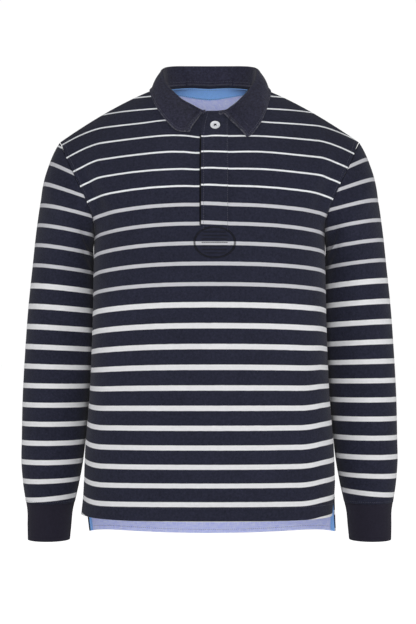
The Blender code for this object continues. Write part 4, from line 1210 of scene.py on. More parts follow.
def chambray_finish():
    """Lilac chambray: white threads one way and blue the other, each of uneven thickness."""
    material, tree, shader, across, height, _ = new_finish("lilac_chambray_cloth")
    threads = []
    for along, beside in ((across, height), (height, across)):
        vector = tree.nodes.new("ShaderNodeCombineXYZ")
        tree.links.new(times(tree, along, THREAD_LONG), vector.inputs[0])
        tree.links.new(times(tree, beside, THREAD_FINE), vector.inputs[1])
        threads.append(noise(tree, vector.outputs[0], 1.0, 2.0))
    woven = soft_step(tree, calc(tree, "ADD", threads[0], threads[1]), 0.75, 1.25)
    tree.links.new(mix_colour(tree, woven, CHAMBRAY_BLUE, CHAMBRAY_WHITE), shader.inputs["Base Color"])
    bump(tree, shader, woven, *RELIEFS["chambray"])
    return material


def thread_finish(name, colour):
    """Sewing thread."""
    material, tree, shader, _, _, room = new_finish(name)
    factor = uneven(tree, room, *SURFACES[name][2:])
    tree.links.new(dyed(tree, colour, factor), shader.inputs["Base Color"])
    return material


def button_finish():
    """Satin white plastic with a faint swirl."""
    material, tree, shader, _, _, room = new_finish("white_plastic")
    swirl = noise(tree, room, 320.0, 3.0, 0.6)
    factor = calc(tree, "MULTIPLY_ADD", swirl, 0.10, 0.95)
    tree.links.new(dyed(tree, BUTTON_WHITE, factor), shader.inputs["Base Color"])
    tree.links.new(calc(tree, "MULTIPLY_ADD", swirl, 0.16, 0.26), shader.inputs["Roughness"])
    bump(tree, shader, swirl, *RELIEFS["plastic"])
    return material


rib = rib_finish()
twill = twill_finish()
tape = tape_finish()
chambray = chambray_finish()
thread = thread_finish("navy_thread", THREAD_NAVY)
dark_thread = thread_finish("dark_thread", THREAD_DARK)
plastic = button_finish()
print("finishes:", [finish.name for finish in (rib, twill, tape, chambray, thread, plastic)])

# %% [markdown]
# Front and back
# Each body panel is one cut piece of jersey. Its grid is far finer than the solid's, and its ends
# are mitred where it meets its neighbours, so that two walls meet as two layers at a seam do. The
# cut itself is a little larger than what shows, because the hems and seams are turned in.

# %% Body panels
COLUMNS_TO_NECK = 22
COLUMNS_TO_EDGE = 46
ROWS_VENT = 18
ROWS_SIDE = 88
ROWS_ARMHOLE = 84
MITRE_FADE = 0.2
BACK_BEND = -0.25


def half_columns():
    """Column places from mid-body to the edge."""
    to_neck = NECK_ACROSS * np.sin(0.5 * math.pi * np.arange(COLUMNS_TO_NECK + 1) / COLUMNS_TO_NECK)
    share = np.arange(1, COLUMNS_TO_EDGE + 1)
    to_edge = NECK_ACROSS + (SEAM_ACROSS - NECK_ACROSS) * share / COLUMNS_TO_EDGE
    return np.concatenate((to_neck, to_edge))


def panel_rows():
    """Row places from the hem to the top."""
    vent = VENT_TOP_UP * np.arange(ROWS_VENT) / ROWS_VENT
    side = VENT_TOP_UP + (ARMPIT_UP - VENT_TOP_UP) * np.arange(ROWS_SIDE) / ROWS_SIDE
    above = ARMPIT_UP + (1 - ARMPIT_UP) * np.arange(ROWS_ARMHOLE + 1) / ROWS_ARMHOLE
    return np.concatenate((vent, side, above))


def panel_grid(panel):
    """Across and up at every point. Rows above the armpit close in on the neck."""
    half = half_columns()
    across, up = np.meshgrid(np.concatenate((-half[:0:-1], half)), panel_rows())
    squeezed = ARMPIT_UP + (up - ARMPIT_UP) * (neck_up(panel, across) - ARMPIT_UP) / (1 - ARMPIT_UP)
    return across, np.where(up > ARMPIT_UP, squeezed, up)


def mitre(own, other):
    """Direction of a wall's end face where it meets another wall: halfway, unless they fold back."""
    together = np.sum(own * other, axis=-1, keepdims=True)
    share = np.clip((together + MITRE_FADE) / (2 * MITRE_FADE), 0.0, 1.0)
    return unit(own + share * other)


def panel_cloth(panel, outer):
    """UV in metres of cloth: across by the waist row, height by the stripes."""
    waist = outer[ROWS_VENT + ROWS_SIDE // 3]
    across = lengths_along(waist[None], 1)[0]
    across = np.broadcast_to(across - across[len(across) // 2], outer.shape[:2])
    height = body_cloth_height(outer[..., 0], outer[..., 2])
    if panel == "back":
        travelled = lengths_along(outer, 0)
        bend_row = np.argmax(outer[..., 2] > BACK_BEND, axis=0)
        columns = np.arange(outer.shape[1])
        start = height[bend_row, columns] - travelled[bend_row, columns]
        height = np.where(outer[..., 2] > BACK_BEND, travelled + start, height)
    return np.stack((across, height), axis=-1)


def make_panel(panel):
    """One body panel."""
    across, up = panel_grid(panel)
    outer = panel_surface(panel, across, up)
    normal = panel_normal(panel, across, up)
    other_panel = "back" if panel == "front" else "front"
    normal[-1] = unit(normal[-1] + panel_normal(other_panel, across[-1], up[-1]))
    edge_up = up[:, 0]
    around = 0.5 * (1 - edge_up) / (1 - ARMPIT_UP)
    if panel == "back":
        around = 1 - around
    in_armhole = (edge_up > ARMPIT_UP) & (edge_up < SEAM_UP)
    sleeve_side = tube_normal(sleeve_form, around[in_armhole], np.array([SLEEVE_START]))[0]
    for column, mirror in ((0, -1.0), (-1, 1.0)):
        beside = sleeve_side * np.array((mirror, 1.0, 1.0))
        normal[in_armhole, column] = mitre(normal[in_armhole, column], beside)
    inner = outer - normal * JERSEY
    if panel == "back":
        outer = outer[:, ::-1]
        inner = inner[:, ::-1]
    piece = wall(panel + "_panel", outer, inner, panel_cloth(panel, outer))
    finish_piece(piece, body_jersey, (panel,))


for panel in PANEL_ROWS:
    make_panel(panel)

# %% [markdown]
# Sleeves and cuffs
# A sleeve is one piece of jersey sewn into a tube and set into the armhole, so its first ring is
# the armhole itself. The cuff is a tube of rib, whose ribs are real ridges in the mesh here: each
# runs down the cuff, and they are close enough to catch the light as a faint vertical grain.

# %% Sleeve and cuff tubes
SLEEVE_AROUND = 176
SLEEVE_ROWS = 120
CUFF_RIBS = 96
CUFF_POINTS_A_RIB = 4
CUFF_ROWS = 26
RIB_HEIGHT = 0.00035
SLEEVE_WIDTH = 0.42
CUFF_WIDTH = 0.24
CUFF_END = 0.06
SLEEVE_ROW_POWER = 1.12


def closed_ring(grid):
    """A ring's grid with its first column repeated at the end."""
    return np.concatenate((grid, grid[:, :1]), axis=1)


def turn_over(outer, inner, mirror):
    """The wearer's left tube, or its mirror image for the right."""
    flip = np.array((mirror, 1.0, 1.0))
    if mirror > 0:
        return outer * flip, inner * flip
    return (outer * flip)[:, ::-1], (inner * flip)[:, ::-1]


def tube_cloth(outer, height, width):
    """UV of a tube: once around is its flat width."""
    columns = outer.shape[1]
    across = np.broadcast_to(np.linspace(0.0, width, columns + 1), (outer.shape[0], columns + 1))
    return np.stack((across, height), axis=-1)


def make_sleeve(side, mirror):
    """One sleeve."""
    around = np.arange(SLEEVE_AROUND) / SLEEVE_AROUND
    share = np.linspace(0.0, 1.0, SLEEVE_ROWS + 1) ** SLEEVE_ROW_POWER
    along = SLEEVE_START + (1 - SLEEVE_START) * share
    outer = sleeve_surface(around, along)
    normal = tube_normal(sleeve_form, around, along)
    is_back, up = armhole_up(around)
    front_side = panel_normal("front", np.ones(len(up)), up)
    back_side = panel_normal("back", np.ones(len(up)), up)
    normal[0] = mitre(normal[0], np.where(is_back[:, None] == 1, back_side, front_side))
    outer, inner = turn_over(outer, outer - normal * JERSEY, mirror)
    ring = closed_ring(outer)
    height = sleeve_cloth_height(ring[..., 0], ring[..., 2], mirror)
    piece = wall(f"sleeve_tube_{side}", outer, inner, tube_cloth(outer, height, SLEEVE_WIDTH), ring=True)
    finish_piece(piece, sleeve_jersey, ("sleeve_" + side,))


def make_cuff(side, mirror):
    """One rib cuff."""
    count = CUFF_RIBS * CUFF_POINTS_A_RIB
    around = np.arange(count) / count
    along = np.linspace(0.0, 1.0, CUFF_ROWS + 1)
    normal = tube_normal(cuff_form, around, along)
    ribs = 0.5 + 0.5 * np.cos(2 * math.pi * CUFF_RIBS * around)
    ends = np.clip(np.minimum(along, 1 - along) / CUFF_END, 0.0, 1.0)
    sink = RIB_HEIGHT * (1 - ribs)[None, :] * ends[:, None]
    outer = cuff_form(around, along) - normal * sink[..., None]
    inner = cuff_form(around, along) - normal * RIB
    outer, inner = turn_over(outer, inner, mirror)
    ring = closed_ring(outer)
    height = lengths_along(ring[::-1], 0)[::-1]
    piece = wall(f"cuff_tube_{side}", outer, inner, tube_cloth(outer, height, CUFF_WIDTH), ring=True)
    finish_piece(piece, rib, ("cuff_" + side,))


for side, mirror in (("left", 1.0), ("right", -1.0)):
    make_sleeve(side, mirror)
    make_cuff(side, mirror)

# %% [markdown]
# Placket band
# The upper band is a strip of the same striped jersey, laid over the front with its stripes a
# little higher than the body's. Its throat corner curves in below the collar. It is made from the
# front's own points moved outward, so that it lies on the cloth everywhere.

# %% Placket
PLACKET_RIGHT_EDGE = -0.0142
PLACKET_LEFT_EDGE = 0.0300
PLACKET_FOOT = -0.2450
PLACKET_CORNER_Z = -0.0890
PLACKET_CORNER_CUT = 0.0090
PLACKET_CORNER_ROUND = 1.6
PLACKET_TOP_DROP = 0.0016
PLACKET_STRIPES_UP = 0.0020
PLACKET_ROUND = 0.0006
BAND_LIFT = SEAM_GAP + JERSEY


def placket_points(share_across, share_up):
    """Across and up on the front for places on the band."""
    top_across, _ = panel_place("front", PLACKET_RIGHT_EDGE, PLACKET_CORNER_Z)
    top = panel_form("front", top_across, neck_up("front", top_across))[2] - PLACKET_TOP_DROP
    z = PLACKET_FOOT + (top - PLACKET_FOOT) * share_up
    curve = np.clip((z - PLACKET_CORNER_Z) / (top - PLACKET_CORNER_Z), 0.0, 1.0)
    right = PLACKET_RIGHT_EDGE + PLACKET_CORNER_CUT * curve ** PLACKET_CORNER_ROUND
    x = right + (PLACKET_LEFT_EDGE - right) * share_across
    return panel_place("front", x, z + 0 * x)


def make_placket():
    """The upper placket band."""
    share_across = np.linspace(0.0, 1.0, 33)[None, :]
    across, up = placket_points(share_across, np.linspace(0.0, 1.0, 113)[:, None])
    outer = panel_surface("front", across, up, BAND_LIFT)
    inner = panel_surface("front", across, up, SEAM_GAP)
    sideways = lengths_along(outer[:1], 1)[0] + PLACKET_RIGHT_EDGE
    raised = PLACKET_STRIPES_UP * np.linspace(1.0, 0.0, outer.shape[1])
    height = body_cloth_height(outer[..., 0], outer[..., 2] - raised)
    cloth = np.stack((np.broadcast_to(sideways, height.shape), height), axis=-1)
    piece = wall("placket_band", outer, inner, cloth, rounding=PLACKET_ROUND)
    finish_piece(piece, body_jersey, ("placket_top",))


make_placket()

# %% [markdown]
# Collar
# A rugby shirt's collar is doubled twill. It stands up from the neck seam, folds over and lies on
# the shoulders, with two pointed leaves in front. The table has fifteen sections around the neck,
# each with the top of its fold and the edge of its leaf, and the leaf is pushed clear of whatever
# lies below it. A left leaf that is a little rounder than the right follows the photograph.

# %% Collar
# Columns: section, around, neck_turn, roll_x, roll_y, roll_z, leaf_x, leaf_y, leaf_z.
COLLAR_SECTIONS = (
    ("right front end", 0.000, -4, -0.0060, -0.0555, -0.0465, -0.0325, -0.0900, -0.0850),
    ("right front", 0.045, -16, -0.0225, -0.0505, -0.0370, -0.0500, -0.0820, -0.0820),
    ("right of throat", 0.130, -40, -0.0470, -0.0385, -0.0220, -0.0725, -0.0640, -0.0600),
    ("right of neck", 0.215, -65, -0.0690, -0.0170, 0.0060, -0.0900, -0.0350, -0.0310),
    ("right shoulder", 0.300, -90, -0.0760, 0.0120, 0.0330, -0.0965, 0.0000, -0.0080),
    ("right of nape", 0.385, -126, -0.0650, 0.0450, 0.0460, -0.0800, 0.0580, -0.0060),
    ("right back", 0.445, -155, -0.0380, 0.0620, 0.0500, -0.0480, 0.0860, -0.0080),
    ("nape", 0.500, -180, 0.0000, 0.0680, 0.0510, 0.0000, 0.0960, -0.0090),
    ("left back", 0.555, -205, 0.0380, 0.0620, 0.0500, 0.0480, 0.0860, -0.0080),
    ("left of nape", 0.615, -234, 0.0660, 0.0450, 0.0460, 0.0810, 0.0580, -0.0060),
    ("left shoulder", 0.700, -270, 0.0780, 0.0120, 0.0330, 0.0990, 0.0000, -0.0080),
    ("left of neck", 0.785, -295, 0.0705, -0.0170, 0.0060, 0.0950, -0.0350, -0.0340),
    ("left of throat", 0.870, -320, 0.0500, -0.0385, -0.0220, 0.0840, -0.0640, -0.0640),
    ("left front", 0.950, -341, 0.0280, -0.0535, -0.0420, 0.0680, -0.0800, -0.0870),
    ("left front end", 1.000, -351, 0.0150, -0.0590, -0.0520, 0.0600, -0.0850, -0.0920),
)
COLLAR_AROUND_STEPS = 320
COLLAR_ROLL_RADIUS = 0.0030
STAND_STEPS = 10
ROLL_STEPS = 12
FALL_STEPS = 44
FALL_BULGE = 0.0030
LEAF_CLEAR = 0.0015
RIDGE_CLEAR = 0.0024
RIDGE_WIDTH = 0.020
BAND_CLEAR = 0.0002
BAND_MARGIN = 0.008
BAND_FADE = 0.006
UNDER_LEAF = (0.62, 0.76)
LEAF_SMOOTHING = 60
JUST_INSIDE = 0.9999
CLOTH_BLEND = (0.35, 0.65)
COLLAR_ROUND = 0.0007


def neckline(turn):
    """The outer rim of the neckline at angles from the throat, and the cloth's normal there."""
    across = NECK_ACROSS * np.sin(np.radians(turn)) * JUST_INSIDE
    at_back = (np.cos(np.radians(turn)) < 0)[:, None]
    found = []
    for panel in ("front", "back"):
        up = neck_up(panel, across)
        found.append((panel_surface(panel, across, up), panel_normal(panel, across, up)))
    rim = np.where(at_back, found[1][0], found[0][0])
    return rim, np.where(at_back, found[1][1], found[0][1])


def push_clear(points):
    """Move the leaf's points out until they lie over the body panels and the placket."""
    samples = []
    normals = []
    for panel in ("front", "back"):
        across, share = np.meshgrid(np.linspace(-UNDER_LEAF[0], UNDER_LEAF[0], 120),
                                    np.linspace(0.0, 1.0, 90))
        up = UNDER_LEAF[1] + share * (neck_up(panel, across) - UNDER_LEAF[1])
        samples.append(panel_surface(panel, across, up).reshape(-1, 3))
        normals.append(panel_normal(panel, across, up).reshape(-1, 3))
    samples = np.concatenate(samples)
    normals = np.concatenate(normals)
    tree = mathutils.kdtree.KDTree(len(samples))
    for index, sample in enumerate(samples):
        tree.insert(sample, index)
    tree.balance()
    flat = points.reshape(-1, 3)
    middle = 0.5 * (PLACKET_RIGHT_EDGE + PLACKET_LEFT_EDGE)
    half = 0.5 * (PLACKET_LEFT_EDGE - PLACKET_RIGHT_EDGE)
    for _ in range(3):
        nearest = np.array([tree.find(point)[1] for point in flat])
        height = np.sum((flat - samples[nearest]) * normals[nearest], axis=1)
        on_band = np.clip((half + BAND_MARGIN - np.abs(flat[:, 0] - middle)) / BAND_FADE, 0.0, 1.0)
        in_front = np.where(flat[:, 1] < 0, 1.0, 0.0)
        on_ridge = np.exp(-(flat[:, 1] / RIDGE_WIDTH) ** 2)
        over_band = (BAND_LIFT + BAND_CLEAR) * on_band * in_front
        needed = TWILL + LEAF_CLEAR + RIDGE_CLEAR * on_ridge + over_band
        flat = flat + normals[nearest] * np.maximum(needed - height, 0.0)[:, None]
    return flat.reshape(points.shape)


def smoothed(values, axis, passes):
    """Values evened out along one axis of their grid."""
    values = np.moveaxis(values, axis, 0)
    for _ in range(passes):
        ahead = np.concatenate((values[1:], values[-1:]))
        behind = np.concatenate((values[:1], values[:-1]))
        values = 0.25 * ahead + 0.5 * values + 0.25 * behind
    return np.moveaxis(values, 0, axis)


def collar_grid():
    """The collar's face side: up the stand on the neck side, over the roll and down the leaf."""
    around = np.linspace(0.0, 1.0, COLLAR_AROUND_STEPS + 1)
    stations = [section[1] for section in COLLAR_SECTIONS]
    table = np.array([section[2:] for section in COLLAR_SECTIONS], dtype=float)
    turn = curve_through(stations, table[:, 0], around)
    roll = curve_through(stations, table[:, 1:4], around)
    leaf = curve_through(stations, table[:, 4:7], around)
    rim, rim_normal = neckline(turn)
    to_neck = unit(np.cross(rim_normal, np.gradient(rim, axis=0)))
    to_neck *= np.where(np.sum(to_neck * (roll - rim), axis=-1, keepdims=True) < 0, -1.0, 1.0)
    level = unit(to_neck * np.array((1.0, 1.0, 0.0)))
    base = rim + to_neck * (2 * SEAM_GAP) + level * TWILL
    rise = unit(roll - base)
    out = leaf - roll
    out = unit(out - rise * np.sum(out * rise, axis=-1, keepdims=True))
    radius = COLLAR_ROLL_RADIUS
    shoulder = roll - rise * radius
    rows = [base + (shoulder - base) * i / STAND_STEPS for i in range(STAND_STEPS)]
    for i in range(ROLL_STEPS + 1):
        turned = math.pi * i / ROLL_STEPS
        rows.append(shoulder + out * radius * (1 - math.cos(turned)) + rise * radius * math.sin(turned))
    top = rows[-1]
    bow = unit(np.cross(np.gradient(leaf, axis=0), leaf - top)) * FALL_BULGE
    bow *= np.sign(np.sum(bow * out))
    for i in range(1, FALL_STEPS + 1):
        share = i / FALL_STEPS
        rows.append(top + (leaf - top) * share + bow * 4 * share * (1 - share))
    grid = np.array(rows)
    fall_start = STAND_STEPS + ROLL_STEPS
    pushed = push_clear(grid[fall_start:]) - grid[fall_start:]
    grid[fall_start:] += smoothed(smoothed(pushed, 1, LEAF_SMOOTHING), 0, 3)
    return grid


def smooth_normals(grid):
    """Outward normals of a grid from its neighbouring points."""
    return unit(np.cross(np.gradient(grid, axis=1), np.gradient(grid, axis=0)))


def make_collar(grid):
    """The collar: stand and leaf in one doubled twill wall, whose v is 0 at the leaf's edge."""
    normal = smooth_normals(grid)
    down = lengths_along(grid[::-1], 0)[::-1]
    from_start = lengths_along(grid, 1)
    from_end = from_start[:, -1:] - from_start
    start, end = CLOTH_BLEND
    share = np.clip((np.linspace(0.0, 1.0, grid.shape[1]) - start) / (end - start), 0.0, 1.0)
    share = share ** 2 * (3 - 2 * share)
    around = (1 - share) * from_start + share * (COLLAR_LENGTH - from_end)
    cloth = np.stack((around, down), axis=-1)
    piece = wall("collar_twill", grid, grid - normal * TWILL, cloth, rounding=COLLAR_ROUND)
    finish_piece(piece, twill, ("collar",))


collar = collar_grid()
make_collar(collar)

# %% [markdown]
# Tapes and facings on the inside
# Blue herringbone tape covers the back neck seam, a half-moon of lilac chambray lies below it, a
# strip of the same faces the back hem, and tape runs up each side vent. All are laid on the inside
# of a panel: its own points, moved inward.

# %% Inside pieces
NECK_TAPE_ACROSS = 0.270
NECK_TAPE_DROP = 0.0195
NECK_TAPE_TOP_DROP = 0.0002
FACING_ACROSS = 0.240
FACING_DROP = 0.0750
FACING_TOP_DROP = 0.0180
FACING_LEAST_DEPTH = 0.006
HEM_FACING_ACROSS = 0.944
HEM_FACING_TOP_UP = 0.034
VENT_TAPE_FROM = 0.949
VENT_TAPE_TO = 0.9985
HEM_EDGE_UP = 0.0002
TAPE_ROUND = 0.0003
NECK_TAPE_LIFT = -(JERSEY + 2 * FACING_GAP + TAPE)
NECK_FACING_LIFT = -(JERSEY + FACING_GAP)
HEM_LIFT = -(JERSEY + INSIDE_GAP)
INSIDE_FINISHES = {"blue_tape": tape, "lilac_chambray": chambray}


def lay_inside(name, node, panel, across, up, lift, slot):
    """A tape or facing on the inside of a panel."""
    across, up = np.broadcast_arrays(across, up)
    outer = panel_surface(panel, across, up, lift)
    inner = panel_surface(panel, across, up, lift - TAPE)
    if panel == "back":
        outer = outer[:, ::-1]
        inner = inner[:, ::-1]
    cloth = np.stack((lengths_along(outer, 1), lengths_along(outer, 0)), axis=-1)
    piece = wall(name, outer, inner, cloth, rounding=TAPE_ROUND)
    finish_piece(piece, INSIDE_FINISHES[slot], (node,))


def make_neck_pieces():
    """The neck tape and the half-moon below it."""
    share = np.linspace(0.0, 1.0, 13)[:, None]
    across = np.linspace(-NECK_TAPE_ACROSS, NECK_TAPE_ACROSS, 121)[None, :]
    up = neck_up("back", across) - NECK_TAPE_TOP_DROP - NECK_TAPE_DROP * (1 - share)
    lay_inside("neck_tape_strip", "neck_tape", "back", across, up, NECK_TAPE_LIFT, "blue_tape")
    share = np.linspace(0.0, 1.0, 41)[:, None]
    across = np.linspace(-FACING_ACROSS, FACING_ACROSS, 121)[None, :]
    top = neck_up("back", across) - FACING_TOP_DROP
    half_moon = np.sqrt(np.clip(1 - (across / FACING_ACROSS) ** 2, 0.0, 1.0))
    bottom = np.minimum(neck_up("back", 0.0) - FACING_DROP * half_moon, top - FACING_LEAST_DEPTH)
    up = bottom + (top - bottom) * share
    lay_inside("neck_facing_half_moon", "neck_facing", "back", across, up, NECK_FACING_LIFT,
               "lilac_chambray")


def make_hem_pieces():
    """The hem facing and the four vent tapes."""
    across, up = np.meshgrid(np.linspace(-HEM_FACING_ACROSS, HEM_FACING_ACROSS, 161),
                             np.linspace(HEM_EDGE_UP, HEM_FACING_TOP_UP, 15))
    lay_inside("hem_facing_strip", "hem_facing_back", "back", across, up, HEM_LIFT, "lilac_chambray")
    for panel in ("front", "back"):
        for side, mirror in (("left", 1.0), ("right", -1.0)):
            across, up = np.meshgrid(np.linspace(VENT_TAPE_FROM, VENT_TAPE_TO, 13) * mirror,
                                     np.linspace(HEM_EDGE_UP, VENT_TOP_UP, 33))
            if mirror < 0:
                across = across[:, ::-1]
            lay_inside(f"vent_strip_{panel}_{side}", f"vent_tape_{panel}_{side}", panel, across, up,
                       HEM_LIFT, "blue_tape")


make_neck_pieces()
make_hem_pieces()

# %% [markdown]
# Button
# A turned white button with a raised rim, a dished middle and four holes. The profile goes round
# with a Screw modifier, and four cylinders drill it.

# %% Button
BUTTON_X = 0.0090
BUTTON_Z = -0.0740
BUTTON_RADIUS = 0.0078
BUTTON_THICKNESS = 0.0028
BUTTON_RIM = 0.0016
BUTTON_PROFILE = ((1.9, 0.62), (1.25, 0.66), (1.0, 0.75), (0.8, 0.92), (0.55, 1.00), (0.25, 0.97),
                  (0.06, 0.84), (0.0, 0.65), (0.0, 0.35), (0.2, 0.10), (0.6, 0.00))
BUTTON_HOLE_RADIUS = 0.0009
BUTTON_HOLE_SPREAD = 0.0024
BUTTON_CLEAR = 0.0003


def button_seat():
    """Place and turn of the button on the placket."""
    across, up = panel_place("front", BUTTON_X, BUTTON_Z)
    seat = panel_surface("front", across, up, BAND_LIFT + BUTTON_CLEAR)
    normal = panel_normal("front", across, up)
    return seat, (0.5 * math.pi + math.atan2(-normal[2], -normal[1]), 0.0, 0.0)


def make_button():
    """The neck button."""
    seat, turn = button_seat()
    profile = [(BUTTON_RADIUS - rims * BUTTON_RIM, 0.0, part * BUTTON_THICKNESS)
               for rims, part in BUTTON_PROFILE]
    points = [(0.0, 0.0, profile[0][2])] + profile + [(0.0, 0.0, 0.0)]
    outline = bpy.data.meshes.new("neck_button")
    outline.from_pydata(points, [(i, i + 1) for i in range(len(points) - 1)], [])
    button = add_object("neck_button", outline)
    select_only(button)
    screw = button.modifiers.new("turned", "SCREW")
    screw.steps = 64
    screw.render_steps = 64
    screw.use_merge_vertices = True
    screw.merge_threshold = 0.00001
    bpy.ops.object.modifier_apply(modifier=screw.name)
    for i in range(4):
        angle = math.radians(45 + 90 * i)
        place = (BUTTON_HOLE_SPREAD * math.cos(angle), BUTTON_HOLE_SPREAD * math.sin(angle), 0.0)
        bpy.ops.mesh.primitive_cylinder_add(vertices=20, radius=BUTTON_HOLE_RADIUS,
                                            depth=3 * BUTTON_THICKNESS, location=place)
        drill = bpy.context.object
        select_only(button)
        cut = button.modifiers.new("hole", "BOOLEAN")
        cut.operation = "DIFFERENCE"
        cut.object = drill
        bpy.ops.object.modifier_apply(modifier=cut.name)
        bpy.data.objects.remove(drill)
    button.location = tuple(seat)
    button.rotation_euler = turn
    select_only(button)
    bpy.ops.object.transform_apply(location=True, rotation=True, scale=False)
    button.data.shade_smooth()
    button.data.set_sharp_from_angle(angle=math.radians(40))
    finish_piece(button, plastic, ("button_neck",))
    print("button faces", len(button.data.polygons))


make_button()

# %% [markdown]
# Stitches
# Each visible stitch is a short thread of its own: a slim spindle that dips into the cloth at both
# ends. Its shape of fourteen faces is repeated along a seam's path. Most are pale navy thread; the
# oval, the rows inside it and the button are sewn with a near-black one, darker than the cloth,
# which on the oval and its rows is partly painted shade of the stitched groove.

# %% Make rows of stitches
STITCH = 2.9 * MILLIMETRE
STITCH_GAP = 0.7 * MILLIMETRE
THREAD_HALF = 0.22 * MILLIMETRE
LOOK_AHEAD = 0.3 * MILLIMETRE
SPINDLE = ((0.0, -0.15, 0.35), (0.22, 0.16, 1.0), (0.78, 0.16, 1.0), (1.0, -0.15, 0.35))
stitch_parts = []
dark_parts = []


def read_line(at, travelled, values):
    """Points or normals at distances along a line of them."""
    return np.stack([np.interp(at, travelled, values[:, axis]) for axis in range(3)], axis=-1)


def sew(points, normals, length=STITCH, gap=STITCH_GAP, half=THREAD_HALF, into=stitch_parts):
    """Lay stitches along a path on a surface with known outward normals."""
    points = np.asarray(points)
    normals = np.asarray(normals)
    travelled = lengths_along(points[None], 1)[0]
    count = max(1, int(round(travelled[-1] / (length + gap))))
    pitch = travelled[-1] / count
    sewn = pitch - gap
    rings = []
    for share, rise, size in SPINDLE:
        at = np.arange(count) * pitch + gap / 2 + share * sewn
        out = unit(read_line(at, travelled, normals))
        ahead = read_line(at + LOOK_AHEAD, travelled, points) - read_line(at - LOOK_AHEAD, travelled, points)
        side = unit(np.cross(out, unit(ahead)))
        centre = read_line(at, travelled, points) + out * (rise * MILLIMETRE)
        around = [centre + side * half * size, centre + out * half * size,
                  centre - side * half * size, centre - out * half * size]
        rings.append(np.stack(around, axis=1))
    into.append(np.stack(rings, axis=1))


def threads_from(name, parts, material):
    """One mesh of all the stitches that were sewn with one thread."""
    spindles = np.concatenate(parts)
    count = len(spindles)
    faces = []
    for ring in range(3):
        for corner in range(4):
            first = ring * 4 + corner
            second = ring * 4 + (corner + 1) % 4
            faces.append((first, second, second + 4, first + 4))
    faces.append((3, 2, 1, 0))
    faces.append((12, 13, 14, 15))
    pattern = np.array(faces)[None] + 16 * np.arange(count)[:, None, None]
    mesh = bpy.data.meshes.new(name)
    mesh.from_pydata(spindles.reshape(-1, 3).tolist(), [], pattern.reshape(-1, 4).tolist())
    mesh.uv_layers.new(name="cloth")
    obj = add_object(name, mesh)
    select_only(obj)
    bpy.ops.object.mode_set(mode="EDIT")
    bpy.ops.mesh.select_all(action="SELECT")
    bpy.ops.mesh.normals_make_consistent(inside=False)
    bpy.ops.object.mode_set(mode="OBJECT")
    obj.data.shade_smooth()
    finish_piece(obj, material)
    print(name, "has", count, "stitches")


def on_front(x, z, lift):
    """A path on the front, from its x and z."""
    across, up = panel_place("front", x, z)
    return panel_surface("front", across, up, lift), panel_normal("front", across, up)


def along_panel(panel, across, up, lift=0.0):
    """A path on a panel in its own terms."""
    across, up = same_shape(across, up)
    return panel_surface(panel, across, up, lift), panel_normal(panel, across, up)


print("stitch shape ready:", len(SPINDLE), "rings of four points")

# %% Sew the seams
BAND_STITCH_SHARES = (0.115, 0.955)
BOX_SHORT = 0.004
BOX_MARGIN = 0.001
BOX_THREAD = 0.30 * MILLIMETRE
HEAVY_THREAD = 0.42 * MILLIMETRE
HEAVY_GAP = 0.35 * MILLIMETRE
HEM_STITCH_UP = 0.0215
HEM_STITCH_ACROSS = 0.95
VENT_STITCH_ACROSS = 0.955
ARMHOLE_STITCH_ACROSS = 0.975
ARMHOLE_STITCH_UP = (0.64, 0.995)
CUFF_STITCH_ALONG = 0.990
STITCH_ROWS_UP = 4
STAND_STITCH_ROW = 2
STAND_TICKS = (70, 251)
TICK_GAP = 0.60 * MILLIMETRE
TICK_THREAD = 0.40 * MILLIMETRE
TAPE_STITCH_ACROSS = 0.262
TAPE_STITCH_DROPS = (0.0026, 0.0182)
FACING_STITCH_ACROSS = 0.94
FACING_STITCH_UPS = (0.0050, 0.0310)
BUTTON_THREAD = 0.55 * MILLIMETRE
BUTTON_THREAD_APART = 0.45 * MILLIMETRE
BUTTON_THREAD_PAST = 0.60 * MILLIMETRE
BUTTON_THREAD_UP = 0.70


def over_band(x, z):
    """How far out the cloth's face lies at places near the band's foot."""
    on_band = (x > PLACKET_RIGHT_EDGE) & (x < PLACKET_LEFT_EDGE) & (z > PLACKET_FOOT)
    return np.where(on_band, BAND_LIFT, 0.0)


def sew_placket():
    """Two lines down the band, and the oval and the box that hold its foot."""
    share = np.linspace(0.0, 1.0, 160)
    for place in BAND_STITCH_SHARES:
        across, up = placket_points(place, share)
        sew(*along_panel("front", across, up, BAND_LIFT))
    turn = np.linspace(0.0, 2 * math.pi, 200)
    x = OVAL_MIDDLE[0] + OVAL_HALF[0] * np.cos(turn)
    z = OVAL_MIDDLE[1] + OVAL_HALF[1] * np.sin(turn)
    sew(*on_front(x, z, over_band(x, z)), gap=HEAVY_GAP, half=HEAVY_THREAD, into=dark_parts)
    for row in range(BOX_ROW_COUNT):
        z = np.full(60, BOX_ROW_TOP - row * BOX_ROW_PITCH)
        share = (z[0] - OVAL_MIDDLE[1]) / OVAL_HALF[1]
        reach = OVAL_HALF[0] * math.sqrt(1 - share ** 2) - BOX_SHORT
        x = np.linspace(max(OVAL_MIDDLE[0] - reach, PLACKET_RIGHT_EDGE + BOX_MARGIN),
                        min(OVAL_MIDDLE[0] + reach, PLACKET_LEFT_EDGE - BOX_MARGIN), 60)
        sew(*on_front(x, z, over_band(x, z)), half=BOX_THREAD, into=dark_parts)


def sew_hems():
    """The hem stitch of the front and of the back, and the vents' edges."""
    across = np.linspace(-HEM_STITCH_ACROSS, HEM_STITCH_ACROSS, 400)
    for panel in ("front", "back"):
        sew(*along_panel(panel, across, HEM_STITCH_UP))
        for edge in (-VENT_STITCH_ACROSS, VENT_STITCH_ACROSS):
            sew(*along_panel(panel, edge, np.linspace(HEM_STITCH_UP, VENT_TOP_UP, 60)))


